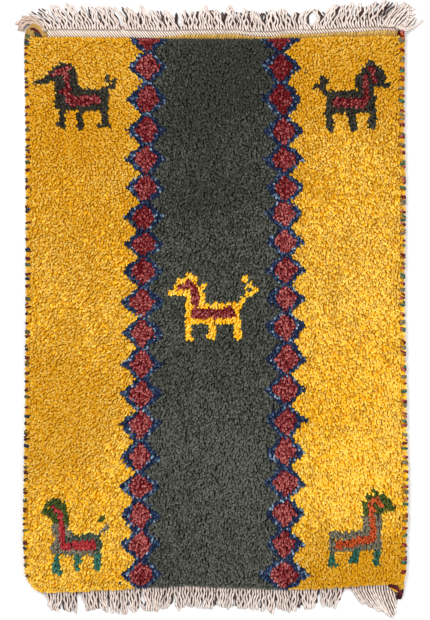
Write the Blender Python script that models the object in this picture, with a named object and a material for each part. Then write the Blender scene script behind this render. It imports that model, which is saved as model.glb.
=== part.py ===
"""A small hand-knotted gabbeh rug, lying flat with its pile up.

The cloth is one solid: a woven foundation with thick wool pile knotted into it, whose lip hangs
over the foundation's edge. An overcast rope, the selvedge, runs down each long side under that lip.
At each short end a narrow strip of bare weave ends in a loose fringe, which lies on the floor.

X runs across the rug, Y along it towards its top end, and Z up. The floor is z = 0.
"""

import math
import random

import bmesh
import bpy
from mathutils import noise

# The cloth's driving sizes, in metres
RUG_WIDTH = 0.410
PILE_LENGTH = 0.596
RUG_THICKNESS = 0.0135

# The pile stands in soft waves, because its tufts lean against each other
WAVE_HEIGHT = 0.0009
WAVE_LENGTH = 0.055

# How far each edge stands outside the plain rectangle. "along" starts at the bottom end
LEFT_EDGE = [
    {"along": 0.000, "out": 0.0000},
    {"along": 0.065, "out": 0.0024},
    {"along": 0.130, "out": 0.0014},
    {"along": 0.200, "out": 0.0004},
    {"along": 0.320, "out": -0.0005},
    {"along": 0.480, "out": -0.0005},
    {"along": 0.596, "out": 0.0006},
]
RIGHT_EDGE = [
    {"along": 0.000, "out": -0.0006},
    {"along": 0.022, "out": 0.0016},
    {"along": 0.105, "out": 0.0034},
    {"along": 0.190, "out": 0.0016},
    {"along": 0.310, "out": -0.0004},
    {"along": 0.420, "out": 0.0005},
    {"along": 0.520, "out": -0.0010},
    {"along": 0.596, "out": -0.0008},
]

# The same for the two ends. "across" starts at the left side
TOP_EDGE = [
    {"across": 0.000, "out": 0.0000},
    {"across": 0.100, "out": -0.0006},
    {"across": 0.160, "out": -0.0020},
    {"across": 0.250, "out": -0.0020},
    {"across": 0.300, "out": -0.0008},
    {"across": 0.350, "out": 0.0026},
    {"across": 0.390, "out": 0.0054},
    {"across": 0.410, "out": 0.0046},
]
BOTTOM_EDGE = [
    {"across": 0.000, "out": 0.0030},
    {"across": 0.040, "out": 0.0028},
    {"across": 0.100, "out": 0.0002},
    {"across": 0.135, "out": -0.0026},
    {"across": 0.175, "out": -0.0043},
    {"across": 0.220, "out": -0.0022},
    {"across": 0.265, "out": -0.0004},
    {"across": 0.310, "out": -0.0005},
    {"across": 0.350, "out": -0.0032},
    {"across": 0.380, "out": -0.0052},
    {"across": 0.410, "out": -0.0062},
]
CORNERS = [
    {"left": True, "bottom": True, "radius": 0.024},
    {"left": True, "bottom": False, "radius": 0.005},
    {"left": False, "bottom": True, "radius": 0.005},
    {"left": False, "bottom": False, "radius": 0.004},
]

# The cloth's rim, ring by ring from its face down to the floor: over the pile's rounded shoulder,
# in under its lip and down the foundation's edge. Each ring lies this far inside the outline.
RIM = [
    {"height": 0.0126, "left": 0.0090, "right": 0.0110, "end": 0.0070},
    {"height": 0.0114, "left": 0.0052, "right": 0.0074, "end": 0.0028},
    {"height": 0.0094, "left": 0.0024, "right": 0.0046, "end": 0.0000},
    {"height": 0.0072, "left": 0.0036, "right": 0.0056, "end": 0.0012},
    {"height": 0.0066, "left": 0.0078, "right": 0.0078, "end": 0.0046},
    {"height": 0.0000, "left": 0.0078, "right": 0.0078, "end": 0.0046},
]
# Round the big bottom left corner the rim keeps its side form, then changes to that of the end
CORNER_FORM_UNTIL = 0.024
CORNER_FORM_CHANGE = 0.008

# The lines of the cloth's surface grid: close together near the edges, then evenly spaced
NEAR_EDGE_LINES = (0.014, 0.022, 0.032)
LINE_SPACING = 0.020

# The selvedge rope, a little flattened, with its lowest faces on the floor
ROPE_WIDTH = 0.0068
ROPE_HEIGHT = 0.0060
ROPE_INSET = 0.0034
ROPE_SIDES = 8
ROPE_STEP = 0.026
ROPE_TIP_SHRINK = 0.7
ROPE_SHARP_ANGLE = math.radians(50)

# Where each rope's ends go past the cloth. "inset" is from its side and "past" is past the end
LEFT_ROPE_TOP = [
    {"inset": 0.0150, "past": 0.0046},
    {"inset": 0.0100, "past": 0.0048},
    {"inset": 0.0064, "past": 0.0040},
    {"inset": 0.0042, "past": 0.0016},
    {"inset": 0.0034, "past": -0.0030},
]
LEFT_ROPE_CORNER = [
    {"across": 0.0034, "along": 0.0240},
    {"across": 0.0034, "along": 0.0150},
    {"across": 0.0034, "along": 0.0080},
    {"across": 0.0034, "along": 0.0034},
    {"across": 0.0080, "along": 0.0034},
    {"across": 0.0150, "along": 0.0034},
    {"across": 0.0212, "along": 0.0034},
]
RIGHT_ROPE_TOP = [
    {"inset": 0.0038, "past": 0.0050},
    {"inset": 0.0034, "past": 0.0000},
]
RIGHT_ROPE_BOTTOM = [
    {"inset": 0.0034, "past": 0.0000},
    {"inset": 0.0034, "past": 0.0060},
    {"inset": 0.0040, "past": 0.0110},
    {"inset": 0.0054, "past": 0.0155},
]

# The strips of bare weave that hold the fringe. Each begins under the pile's lip
STRIP_HEIGHT = 0.0030
STRIP_INNER = -0.0040
TOP_STRIP = {"start": 0.0160, "finish": 0.4026, "outer": 0.0128}
BOTTOM_STRIP = {"start": 0.0230, "finish": 0.3990, "outer": 0.0034}

# The fringe. Each strand is at its reach from the strip when it has leaned this far to the right
STRAND_PITCH = 0.0035
STRAND_WIDTH = 0.0023
STRAND_HEIGHT = 0.0023
STRAND_TIP_SHARE = 0.55
STRAND_STEPS = 4
STRAND_BEND = 1.4
BUNCH_SIZES = (2, 3, 4, 5)
BUNCH_PULL = 0.24
REACH_VARIATION = 0.0018
TOP_SEED = 11
BOTTOM_SEED = 23
TOP_FRINGE = [
    {"across": 0.016, "reach": 0.0045, "lean": -0.0280},
    {"across": 0.024, "reach": 0.0130, "lean": -0.0210},
    {"across": 0.036, "reach": 0.0190, "lean": -0.0160},
    {"across": 0.060, "reach": 0.0215, "lean": -0.0115},
    {"across": 0.090, "reach": 0.0200, "lean": -0.0080},
    {"across": 0.130, "reach": 0.0190, "lean": -0.0060},
    {"across": 0.164, "reach": 0.0180, "lean": -0.0070},
    {"across": 0.172, "reach": 0.0180, "lean": -0.0010},
    {"across": 0.200, "reach": 0.0200, "lean": -0.0020},
    {"across": 0.250, "reach": 0.0170, "lean": -0.0015},
    {"across": 0.306, "reach": 0.0165, "lean": -0.0010},
    {"across": 0.314, "reach": 0.0170, "lean": 0.0030},
    {"across": 0.350, "reach": 0.0190, "lean": 0.0070},
    {"across": 0.380, "reach": 0.0215, "lean": 0.0130},
    {"across": 0.392, "reach": 0.0170, "lean": 0.0190},
    {"across": 0.403, "reach": 0.0070, "lean": 0.0260},
]
BOTTOM_FRINGE = [
    {"across": 0.022, "reach": 0.0140, "lean": 0.0000},
    {"across": 0.040, "reach": 0.0190, "lean": 0.0005},
    {"across": 0.055, "reach": 0.0215, "lean": -0.0010},
    {"across": 0.062, "reach": 0.0200, "lean": 0.0035},
    {"across": 0.100, "reach": 0.0215, "lean": 0.0015},
    {"across": 0.160, "reach": 0.0225, "lean": -0.0005},
    {"across": 0.230, "reach": 0.0210, "lean": -0.0010},
    {"across": 0.290, "reach": 0.0220, "lean": 0.0000},
    {"across": 0.318, "reach": 0.0190, "lean": -0.0015},
    {"across": 0.343, "reach": 0.0175, "lean": -0.0025},
    {"across": 0.351, "reach": 0.0190, "lean": 0.0060},
    {"across": 0.372, "reach": 0.0260, "lean": 0.0085},
    {"across": 0.390, "reach": 0.0290, "lean": 0.0060},
    {"across": 0.399, "reach": 0.0190, "lean": 0.0030},
]

# Plain colours of the solids, and how matt each yarn is
GOLD = (0.78, 0.42, 0.06, 1.0)
WRAP_RED = (0.24, 0.03, 0.05, 1.0)
CREAM = (0.74, 0.66, 0.58, 1.0)
WOOL_ROUGHNESS = 0.9
WRAP_ROUGHNESS = 0.85
WARP_ROUGHNESS = 0.9


def look_up(table, key, at, column):
    """The column's value at a place, eased from one row of the table to the next."""
    if at <= table[0][key]:
        return table[0][column]
    for low, high in zip(table, table[1:]):
        if at <= high[key]:
            share = (at - low[key]) / (high[key] - low[key])
            eased = share * share * (3 - 2 * share)
            return low[column] + (high[column] - low[column]) * eased
    return table[-1][column]


def between(low, high, share):
    """low at share 0 and high at share 1, and no further."""
    return low + (high - low) * min(1.0, max(0.0, share))


def with_round_corners(across, along):
    """The plain rectangle's square corners drawn in to arcs, along with what lies inside them."""
    for corner in CORNERS:
        from_side = across if corner["left"] else RUG_WIDTH - across
        from_end = along if corner["bottom"] else PILE_LENGTH - along
        radius = corner["radius"]
        if from_side < radius and from_end < radius:
            u = radius - from_side
            v = radius - from_end
            shrink = max(u, v) / math.hypot(u, v)
            from_side = radius - u * shrink
            from_end = radius - v * shrink
            across = from_side if corner["left"] else RUG_WIDTH - from_side
            along = from_end if corner["bottom"] else PILE_LENGTH - from_end
            break
    return across, along


def plan_point(across, along):
    """A place on the rug, given from its bottom left corner, as x and y from the cloth's middle."""
    across, along = with_round_corners(across, along)
    left = -look_up(LEFT_EDGE, "along", along, "out")
    right = look_up(RIGHT_EDGE, "along", along, "out")
    bottom = -look_up(BOTTOM_EDGE, "across", across, "out")
    top = look_up(TOP_EDGE, "across", across, "out")
    x = across + between(left, right, across / RUG_WIDTH) - RUG_WIDTH / 2
    y = along + between(bottom, top, along / PILE_LENGTH) - PILE_LENGTH / 2
    return x, y


def pile_height(x, y):
    """How high the pile's face stands, in soft waves."""
    wave = noise.noise((x / WAVE_LENGTH, y / WAVE_LENGTH, 0.0))
    return RUG_THICKNESS + WAVE_HEIGHT * wave


def grid_lines(length):
    """Where the surface grid's lines cross an edge of this length, its two ends included."""
    margin = NEAR_EDGE_LINES[-1]
    count = round((length - 2 * margin) / LINE_SPACING)
    middle = [margin + (length - 2 * margin) * k / count for k in range(1, count)]
    far_side = [length - line for line in reversed(NEAR_EDGE_LINES)]
    return [0.0, *NEAR_EDGE_LINES, *middle, *far_side, length]


def rim_place(ring, across, along, column_end, row_end):
    """A rim ring's point where grid lines meet it. The ends are -1, 0 or 1: low edge, none, high."""
    if column_end < 0:
        across = ring["left"]
    elif column_end > 0:
        across = RUG_WIDTH - ring["right"]
    if row_end < 0:
        change = (across - CORNER_FORM_UNTIL) / CORNER_FORM_CHANGE
        along = between(ring["left"], ring["end"], change)
    elif row_end > 0:
        along = PILE_LENGTH - ring["end"]
    return (*plan_point(across, along), ring["height"])


def add_mesh(name, bm, material):
    """Turns a bmesh into an object of its own, with its faces pointing out."""
    bmesh.ops.recalc_face_normals(bm, faces=bm.faces)
    mesh = bpy.data.meshes.new(name)
    bm.to_mesh(mesh)
    bm.free()
    mesh.materials.append(material)
    piece = bpy.data.objects.new(name, mesh)
    bpy.context.scene.collection.objects.link(piece)
    return piece


def bridge(bm, ring, next_ring):
    """Joins two rings of as many points with a belt of four-sided faces."""
    for k in range(len(ring)):
        after = (k + 1) % len(ring)
        bm.faces.new((ring[k], ring[after], next_ring[after], next_ring[k]))


def make_cloth(material):
    """The woven foundation and its pile: a waved face, a rounded rim and a flat underside."""
    bm = bmesh.new()
    columns = grid_lines(RUG_WIDTH)
    rows = grid_lines(PILE_LENGTH)
    last_column = len(columns) - 1
    last_row = len(rows) - 1

    def end_of(index, last):
        return -1 if index == 0 else int(index == last)

    def rim_vertex(ring, column, row):
        ends = (end_of(column, last_column), end_of(row, last_row))
        return bm.verts.new(rim_place(ring, columns[column], rows[row], *ends))

    face_grid = []
    for column, across in enumerate(columns):
        line = []
        for row, along in enumerate(rows):
            if end_of(column, last_column) or end_of(row, last_row):
                line.append(rim_vertex(RIM[0], column, row))
            else:
                x, y = plan_point(across, along)
                line.append(bm.verts.new((x, y, pile_height(x, y))))
        face_grid.append(line)
    for column in range(last_column):
        for row in range(last_row):
            bm.faces.new(
                (
                    face_grid[column][row],
                    face_grid[column + 1][row],
                    face_grid[column + 1][row + 1],
                    face_grid[column][row + 1],
                )
            )

    around = [(column, 0) for column in range(last_column)]
    around += [(last_column, row) for row in range(last_row)]
    around += [(column, last_row) for column in range(last_column, 0, -1)]
    around += [(0, row) for row in range(last_row, 0, -1)]
    ring = [face_grid[column][row] for column, row in around]
    for form in RIM[1:]:
        lower = [rim_vertex(form, column, row) for column, row in around]
        bridge(bm, ring, lower)
        ring = lower
    bm.faces.new(ring)
    return add_mesh("cloth_with_pile", bm, material)


def rope_section(centre, direction, scale):
    """The rope's outline at a place on its path, square to its direction, resting on the floor."""
    to_side = (direction[1], -direction[0])
    lowest = math.sin(math.pi / 2 - math.pi / ROPE_SIDES)
    points = []
    for k in range(ROPE_SIDES):
        angle = 2 * math.pi * (k + 0.5) / ROPE_SIDES
        out = ROPE_WIDTH / 2 * scale * math.cos(angle)
        height = ROPE_HEIGHT / 2 * scale * (1 + math.sin(angle) / lowest)
        points.append((centre[0] + to_side[0] * out, centre[1] + to_side[1] * out, height))
    return points


def make_rope(name, path, material):
    """A selvedge rope along its path on the floor, with both ends drawn in."""
    bm = bmesh.new()
    rings = []
    for k, centre in enumerate(path):
        before = path[max(k - 1, 0)]
        after = path[min(k + 1, len(path) - 1)]
        dx, dy = after[0] - before[0], after[1] - before[1]
        length = math.hypot(dx, dy)
        scale = ROPE_TIP_SHRINK if k in (0, len(path) - 1) else 1.0
        section = rope_section(centre, (dx / length, dy / length), scale)
        rings.append([bm.verts.new(point) for point in section])
    for ring, next_ring in zip(rings, rings[1:]):
        bridge(bm, ring, next_ring)
    bm.faces.new(rings[0])
    bm.faces.new(rings[-1])
    piece = add_mesh(name, bm, material)
    piece.data.shade_smooth()
    piece.data.set_sharp_from_angle(angle=ROPE_SHARP_ANGLE)
    return piece


def straight_run(inset, high, low):
    """Points down a side at even steps, from one distance along the rug to a lower one."""
    steps = round((high - low) / ROPE_STEP)
    return [plan_point(inset, high + (low - high) * k / steps) for k in range(1, steps)]


def left_rope_path():
    """Turned in over the top corner, down the left side and round the big bottom corner."""
    top = [plan_point(p["inset"], PILE_LENGTH + p["past"]) for p in LEFT_ROPE_TOP]
    corner = [plan_point(p["across"], p["along"]) for p in LEFT_ROPE_CORNER]
    side = straight_run(ROPE_INSET, PILE_LENGTH, LEFT_ROPE_CORNER[0]["along"])
    return top + side + corner


def right_rope_path():
    """Down the right side, and out past the bottom corner."""
    inset = RUG_WIDTH - ROPE_INSET
    top = [plan_point(RUG_WIDTH - p["inset"], PILE_LENGTH + p["past"]) for p in RIGHT_ROPE_TOP]
    bottom = [plan_point(RUG_WIDTH - p["inset"], -p["past"]) for p in RIGHT_ROPE_BOTTOM]
    return top + straight_run(inset, PILE_LENGTH, 0.0) + bottom


def strand_paths(strip, table, seed):
    """The fringe's strands from their roots: a list of (across, out) points for each, in bunches."""
    chooser = random.Random(seed)
    length = strip["finish"] - strip["start"]
    count = int(length / STRAND_PITCH)
    roots = [strip["start"] + length * (k + 0.5) / count for k in range(count)]
    paths = []
    while len(paths) < count:
        size = min(chooser.choice(BUNCH_SIZES), count - len(paths))
        bunch = roots[len(paths) : len(paths) + size]
        middle = sum(bunch) / size
        longer = chooser.uniform(-REACH_VARIATION, REACH_VARIATION)
        for root in bunch:
            usual_reach = look_up(table, "across", root, "reach")
            reach = usual_reach + longer + chooser.uniform(-REACH_VARIATION, 0.0)
            lean = look_up(table, "across", root, "lean") + (middle - root) * BUNCH_PULL
            path = []
            for step in range(STRAND_STEPS + 1):
                out = reach * step / STRAND_STEPS
                path.append((root + lean * (out / usual_reach) ** STRAND_BEND, out))
            paths.append(path)
    return paths


def strand_section(path, step):
    """A strand's three corners at one step of its path: left foot, right foot and ridge."""
    share = 1 + (STRAND_TIP_SHARE - 1) * step / STRAND_STEPS
    half = STRAND_WIDTH / 2 * share
    across, out = path[step]
    before = path[step - 1]
    after = path[min(step + 1, STRAND_STEPS)]
    run = (after[0] - before[0], after[1] - before[1])
    length = math.hypot(*run)
    square = (run[1] / length * half, -run[0] / length * half)
    return (
        (across - square[0], out - square[1], 0.0),
        (across + square[0], out + square[1], 0.0),
        (across, out, STRAND_HEIGHT * share),
    )


def make_fringe(name, strip, table, top_end, seed, material):
    """A strip of bare weave with its strands grown out of its outer edge, all flat on the floor."""
    bm = bmesh.new()
    outer = strip["outer"]

    def vertex(across, out, height):
        along = PILE_LENGTH + out if top_end else -out
        return bm.verts.new((*plan_point(across, along), height))

    paths = strand_paths(strip, table, seed)
    roots = [path[0][0] for path in paths]
    stations = [strip["start"], *roots, strip["finish"]]
    back_low = [vertex(across, STRIP_INNER, 0.0) for across in stations]
    back_high = [vertex(across, STRIP_INNER, STRIP_HEIGHT) for across in stations]
    front_high = [vertex(across, outer, STRIP_HEIGHT) for across in stations]
    start_foot = vertex(strip["start"], outer, 0.0)
    finish_foot = vertex(strip["finish"], outer, 0.0)
    root_sections = []
    for root in roots:
        left_foot = vertex(root - STRAND_WIDTH / 2, outer, 0.0)
        right_foot = vertex(root + STRAND_WIDTH / 2, outer, 0.0)
        root_sections.append((left_foot, right_foot, vertex(root, outer, STRAND_HEIGHT)))

    last = len(stations) - 1
    for k in range(last):
        bm.faces.new((back_low[k], back_low[k + 1], back_high[k + 1], back_high[k]))
        bm.faces.new((back_high[k], back_high[k + 1], front_high[k + 1], front_high[k]))
        left_foot = root_sections[k - 1][1] if k else start_foot
        right_foot = root_sections[k][0] if k < len(roots) else finish_foot
        front = [left_foot, right_foot]
        if k < len(roots):
            front.append(root_sections[k][2])
        front += [front_high[k + 1], front_high[k]]
        if k:
            front.append(root_sections[k - 1][2])
        bm.faces.new(front)
        bm.faces.new((back_low[k], left_foot, right_foot, back_low[k + 1]))
    for k, (left_foot, right_foot, _) in enumerate(root_sections):
        bm.faces.new((back_low[k + 1], left_foot, right_foot))
    bm.faces.new((back_low[0], start_foot, front_high[0], back_high[0]))
    bm.faces.new((back_low[last], finish_foot, front_high[last], back_high[last]))

    for path, section in zip(paths, root_sections):
        for step in range(1, STRAND_STEPS + 1):
            corners = strand_section(path, step)
            next_section = [vertex(across, outer + out, height) for across, out, height in corners]
            bridge(bm, section, next_section)
            section = next_section
        bm.faces.new(section)
    return add_mesh(name, bm, material)


def make_material(name, colour, roughness):
    material = bpy.data.materials.new(name)
    material.use_nodes = True
    shader = material.node_tree.nodes["Principled BSDF"]
    shader.inputs["Base Color"].default_value = colour
    shader.inputs["Roughness"].default_value = roughness
    shader.inputs["Metallic"].default_value = 0.0
    return material


def centre_on_origin(pieces):
    """Moves the whole rug so that the middle of its bounding box is over the origin."""
    points = [vertex.co for piece in pieces for vertex in piece.data.vertices]
    middle_x = (min(p.x for p in points) + max(p.x for p in points)) / 2
    middle_y = (min(p.y for p in points) + max(p.y for p in points)) / 2
    for piece in pieces:
        piece.location = (-middle_x, -middle_y, 0.0)


def main():
    for old in list(bpy.data.objects):
        bpy.data.objects.remove(old)
    wool = make_material("gold_wool", GOLD, WOOL_ROUGHNESS)
    wrapping = make_material("wrapping_yarn", WRAP_RED, WRAP_ROUGHNESS)
    warp = make_material("cream_warp", CREAM, WARP_ROUGHNESS)
    pieces = [
        make_cloth(wool),
        make_rope("selvedge_left", left_rope_path(), wrapping),
        make_rope("selvedge_right", right_rope_path(), wrapping),
        make_fringe("fringe_top", TOP_STRIP, TOP_FRINGE, True, TOP_SEED, warp),
        make_fringe("fringe_bottom", BOTTOM_STRIP, BOTTOM_FRINGE, False, BOTTOM_SEED, warp),
    ]
    centre_on_origin(pieces)


main()
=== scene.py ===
import math
from collections import namedtuple

import bmesh
import bpy
import numpy as np
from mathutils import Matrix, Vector, noise


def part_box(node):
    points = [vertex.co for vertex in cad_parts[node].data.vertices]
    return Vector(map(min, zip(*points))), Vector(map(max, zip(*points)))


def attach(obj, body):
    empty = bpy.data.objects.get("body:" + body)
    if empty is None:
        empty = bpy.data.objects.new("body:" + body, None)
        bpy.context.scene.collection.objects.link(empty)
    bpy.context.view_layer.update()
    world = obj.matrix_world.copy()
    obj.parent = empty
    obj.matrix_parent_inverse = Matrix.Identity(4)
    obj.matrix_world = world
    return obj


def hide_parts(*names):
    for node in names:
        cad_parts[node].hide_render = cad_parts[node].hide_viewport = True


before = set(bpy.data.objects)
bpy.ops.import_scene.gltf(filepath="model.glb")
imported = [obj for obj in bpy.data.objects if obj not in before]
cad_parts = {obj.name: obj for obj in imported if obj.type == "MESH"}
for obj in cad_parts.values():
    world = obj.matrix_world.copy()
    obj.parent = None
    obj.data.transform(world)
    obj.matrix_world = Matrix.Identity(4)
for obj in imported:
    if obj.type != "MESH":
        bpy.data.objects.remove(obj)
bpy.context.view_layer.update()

# A small hand-knotted gabbeh rug lying flat, seen from straight above.
# Every end of pile yarn is a tuft of its own, coloured from a knotting chart. The fringe is
# two-ply warp, the selvedges are overcast yarn, and a woven foundation lies under the pile.
# Places on the rug are given "across" from its left side and "along" from its bottom end.

# The rug's plain rectangle, and how far each edge stands outside it, as in the solids
RUG_WIDTH = 0.410
PILE_LENGTH = 0.596
RUG_THICKNESS = 0.0135
WAVE_HEIGHT = 0.0009
WAVE_LENGTH = 0.055
LEFT_EDGE = [
    {"along": 0.000, "out": 0.0000},
    {"along": 0.065, "out": 0.0024},
    {"along": 0.130, "out": 0.0014},
    {"along": 0.200, "out": 0.0004},
    {"along": 0.320, "out": -0.0005},
    {"along": 0.480, "out": -0.0005},
    {"along": 0.596, "out": 0.0006},
]
RIGHT_EDGE = [
    {"along": 0.000, "out": -0.0006},
    {"along": 0.022, "out": 0.0016},
    {"along": 0.105, "out": 0.0034},
    {"along": 0.190, "out": 0.0016},
    {"along": 0.310, "out": -0.0004},
    {"along": 0.420, "out": 0.0005},
    {"along": 0.520, "out": -0.0010},
    {"along": 0.596, "out": -0.0008},
]
TOP_EDGE = [
    {"across": 0.000, "out": 0.0000},
    {"across": 0.100, "out": -0.0006},
    {"across": 0.160, "out": -0.0020},
    {"across": 0.250, "out": -0.0020},
    {"across": 0.300, "out": -0.0008},
    {"across": 0.350, "out": 0.0026},
    {"across": 0.390, "out": 0.0054},
    {"across": 0.410, "out": 0.0046},
]
BOTTOM_EDGE = [
    {"across": 0.000, "out": 0.0030},
    {"across": 0.040, "out": 0.0028},
    {"across": 0.100, "out": 0.0002},
    {"across": 0.135, "out": -0.0026},
    {"across": 0.175, "out": -0.0043},
    {"across": 0.220, "out": -0.0022},
    {"across": 0.265, "out": -0.0004},
    {"across": 0.310, "out": -0.0005},
    {"across": 0.350, "out": -0.0032},
    {"across": 0.380, "out": -0.0052},
    {"across": 0.410, "out": -0.0062},
]
CORNERS = [
    {"left": True, "bottom": True, "radius": 0.024},
    {"left": True, "bottom": False, "radius": 0.005},
    {"left": False, "bottom": True, "radius": 0.005},
    {"left": False, "bottom": False, "radius": 0.004},
]

# The pile's lip and the foundation's edge, inside the outline
LIP_LEFT = 0.0024
LIP_RIGHT = 0.0046
LIP_END = 0.0
TIPS_LEFT = 0.0004
TIPS_RIGHT = 0.0000
TIPS_TOP = [
    {"across": 0.000, "inset": 0.0004},
    {"across": 0.270, "inset": 0.0008},
    {"across": 0.329, "inset": 0.0016},
    {"across": 0.361, "inset": 0.0038},
    {"across": 0.393, "inset": 0.0055},
    {"across": 0.410, "inset": 0.0050},
]
TIPS_BOTTOM = -0.0010
FOUNDATION_SIDE = 0.0078
FOUNDATION_END = 0.0046
FOUNDATION_HEIGHT = 0.0030

# How high the tips stand at each distance inside the lip
SHOULDER = [
    {"inside": -0.0036, "height": 0.0080},
    {"inside": 0.0000, "height": 0.0090},
    {"inside": 0.0028, "height": 0.0110},
    {"inside": 0.0070, "height": 0.0126},
    {"inside": 0.0150, "height": RUG_THICKNESS},
]

# The knotting: ends of yarn across and along the rug, and how evenly they stand
TUFTS_ACROSS = 182
TUFTS_ALONG = 258
TUFT_RADIUS = 0.00128
TUFT_SIDES = 4
TUFT_DEPTH = 0.0050
TUFT_LEAN_SHARE = 1.0
TUFT_RINGS = [1.00, 1.02]
TUFT_LEVELS = [0.30, 0.74]
TUFT_SEEN_MIDDLE = 0.26
PLACE_JITTER = 0.50
GRID_SWAY = 0.9
GRID_SWAY_LENGTH = 7.0
HEIGHT_JITTER = 0.00045
SIZE_JITTER = 0.18
LEAN_JITTER = 0.0013
MOST_TUFTS_IN_A_PIECE = 13000
# The outermost row stands closer, from the foundation's edge up and out over the selvedge
RIM_PITCH = 0.0020
RIM_INSET = 0.0009
RIM_ROW = 0.0016
RIM_JITTER = 0.00045
RIM_RADIUS = 0.0013
RIM_SIDES = 5
RIM_PATH = [
    {"out": 0.00, "up": 0.00},
    {"out": 0.08, "up": 0.70},
    {"out": 0.60, "up": 0.92},
    {"out": 1.00, "up": 1.00},
]
RIM_LEVELS = [0.10, 0.40, 0.62, 0.84]
BASE_INSET = 0.0008
# The crowded lower part of the pile, under the tips
DEPTH_CELLS_ACROSS = 130
DEPTH_CELLS_ALONG = 190
DEPTH_INSET = 0.0045
DEPTH_BELOW_TIPS = 0.0024
DEPTH_ROUGHNESS = 0.0003

# The backs of the knots, as they show on the underside
KNOTS_ACROSS = 68
KNOTS_ALONG = 78

# Which way the pile leans at some places on the rug, and how much lighter or darker that makes it look: painted
# sheen and shade of the nap
LEANS = [
    {"across": 0.02, "along": 0.58, "right": 0.0040, "up": -0.0020, "light": -0.12},
    {"across": 0.11, "along": 0.52, "right": 0.0040, "up": -0.0036, "light": -0.10},
    {"across": 0.05, "along": 0.40, "right": -0.0020, "up": -0.0042, "light": -0.02},
    {"across": 0.10, "along": 0.30, "right": -0.0046, "up": -0.0036, "light": 0.02},
    {"across": 0.03, "along": 0.18, "right": -0.0044, "up": -0.0038, "light": -0.10},
    {"across": 0.06, "along": 0.06, "right": -0.0026, "up": -0.0050, "light": 0.10},
    {"across": 0.20, "along": 0.57, "right": 0.0010, "up": -0.0050, "light": -0.60},
    {"across": 0.20, "along": 0.48, "right": 0.0010, "up": -0.0050, "light": -0.35},
    {"across": 0.20, "along": 0.30, "right": -0.0020, "up": -0.0050, "light": 0.02},
    {"across": 0.20, "along": 0.12, "right": -0.0004, "up": -0.0056, "light": 0.22},
    {"across": 0.20, "along": 0.02, "right": -0.0004, "up": -0.0056, "light": 0.10},
    {"across": 0.36, "along": 0.58, "right": -0.0030, "up": -0.0040, "light": -0.12},
    {"across": 0.34, "along": 0.42, "right": 0.0020, "up": -0.0050, "light": 0.10},
    {"across": 0.38, "along": 0.25, "right": 0.0016, "up": -0.0052, "light": 0.20},
    {"across": 0.36, "along": 0.10, "right": 0.0014, "up": -0.0054, "light": 0.26},
    {"across": 0.36, "along": 0.01, "right": 0.0008, "up": -0.0056, "light": -0.30},
]

# The chart's own unit, and the columns of diamonds on the borders of the middle stripe
CHART_STEP = 0.001076
DIAMOND_PITCH = 0.0321
DIAMOND_LAST = 0.0172
DIAMOND_COUNT = 19
WIDEST_DIAMOND = 1.3
DIAMOND_COLUMNS = [
    {"along": 0.000, "left": 0.1255, "right": 0.2795},
    {"along": 0.120, "left": 0.1243, "right": 0.2805},
    {"along": 0.300, "left": 0.1275, "right": 0.2815},
    {"along": 0.450, "left": 0.1297, "right": 0.2795},
    {"along": 0.596, "left": 0.1330, "right": 0.2750},
]
# How far the weaver's diamonds stray up from their even places
DIAMOND_DRIFT = [
    {"along": 0.017, "left": 0.0000, "right": 0.0000},
    {"along": 0.080, "left": -0.0008, "right": 0.0013},
    {"along": 0.143, "left": -0.0025, "right": 0.0030},
    {"along": 0.179, "left": 0.0010, "right": 0.0048},
    {"along": 0.230, "left": 0.0013, "right": 0.0066},
    {"along": 0.283, "left": 0.0026, "right": 0.0096},
    {"along": 0.343, "left": 0.0052, "right": 0.0067},
    {"along": 0.402, "left": 0.0000, "right": 0.0034},
    {"along": 0.438, "left": -0.0020, "right": -0.0018},
    {"along": 0.495, "left": -0.0037, "right": -0.0045},
    {"along": 0.563, "left": 0.0000, "right": 0.0000},
]
CHART_RAGGEDNESS = 0.00050
PALE_BLUE_SHARE = 0.11
STEEL_BLUE_SHARE = 0.30
DIAMOND_WOBBLE = 1.6
DIAMOND_WOBBLE_LENGTH = 0.010
# Inside an animal's outline no ground shows within this many chart steps of its filling
OUTLINE_REACH = 2.4
FILLINGS = ("crimson", "red", "orange")
# Stray knots of other wools in the gold fields
# Pale gold tufts come more where the nap has painted sheen, and in the dye's own clouds
PALE_GOLD_FOR_LIGHT = 2.3
PALE_GOLD_CLOUDS = 0.16
STRAYS = [
    {"wool": "navy", "across": 0.1038, "along": 0.0065, "radius": 0.0022},
    {"wool": "pine", "across": 0.1146, "along": 0.3960, "radius": 0.0020},
    {"wool": "charcoal", "across": 0.3030, "along": 0.5600, "radius": 0.0018},
]

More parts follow.
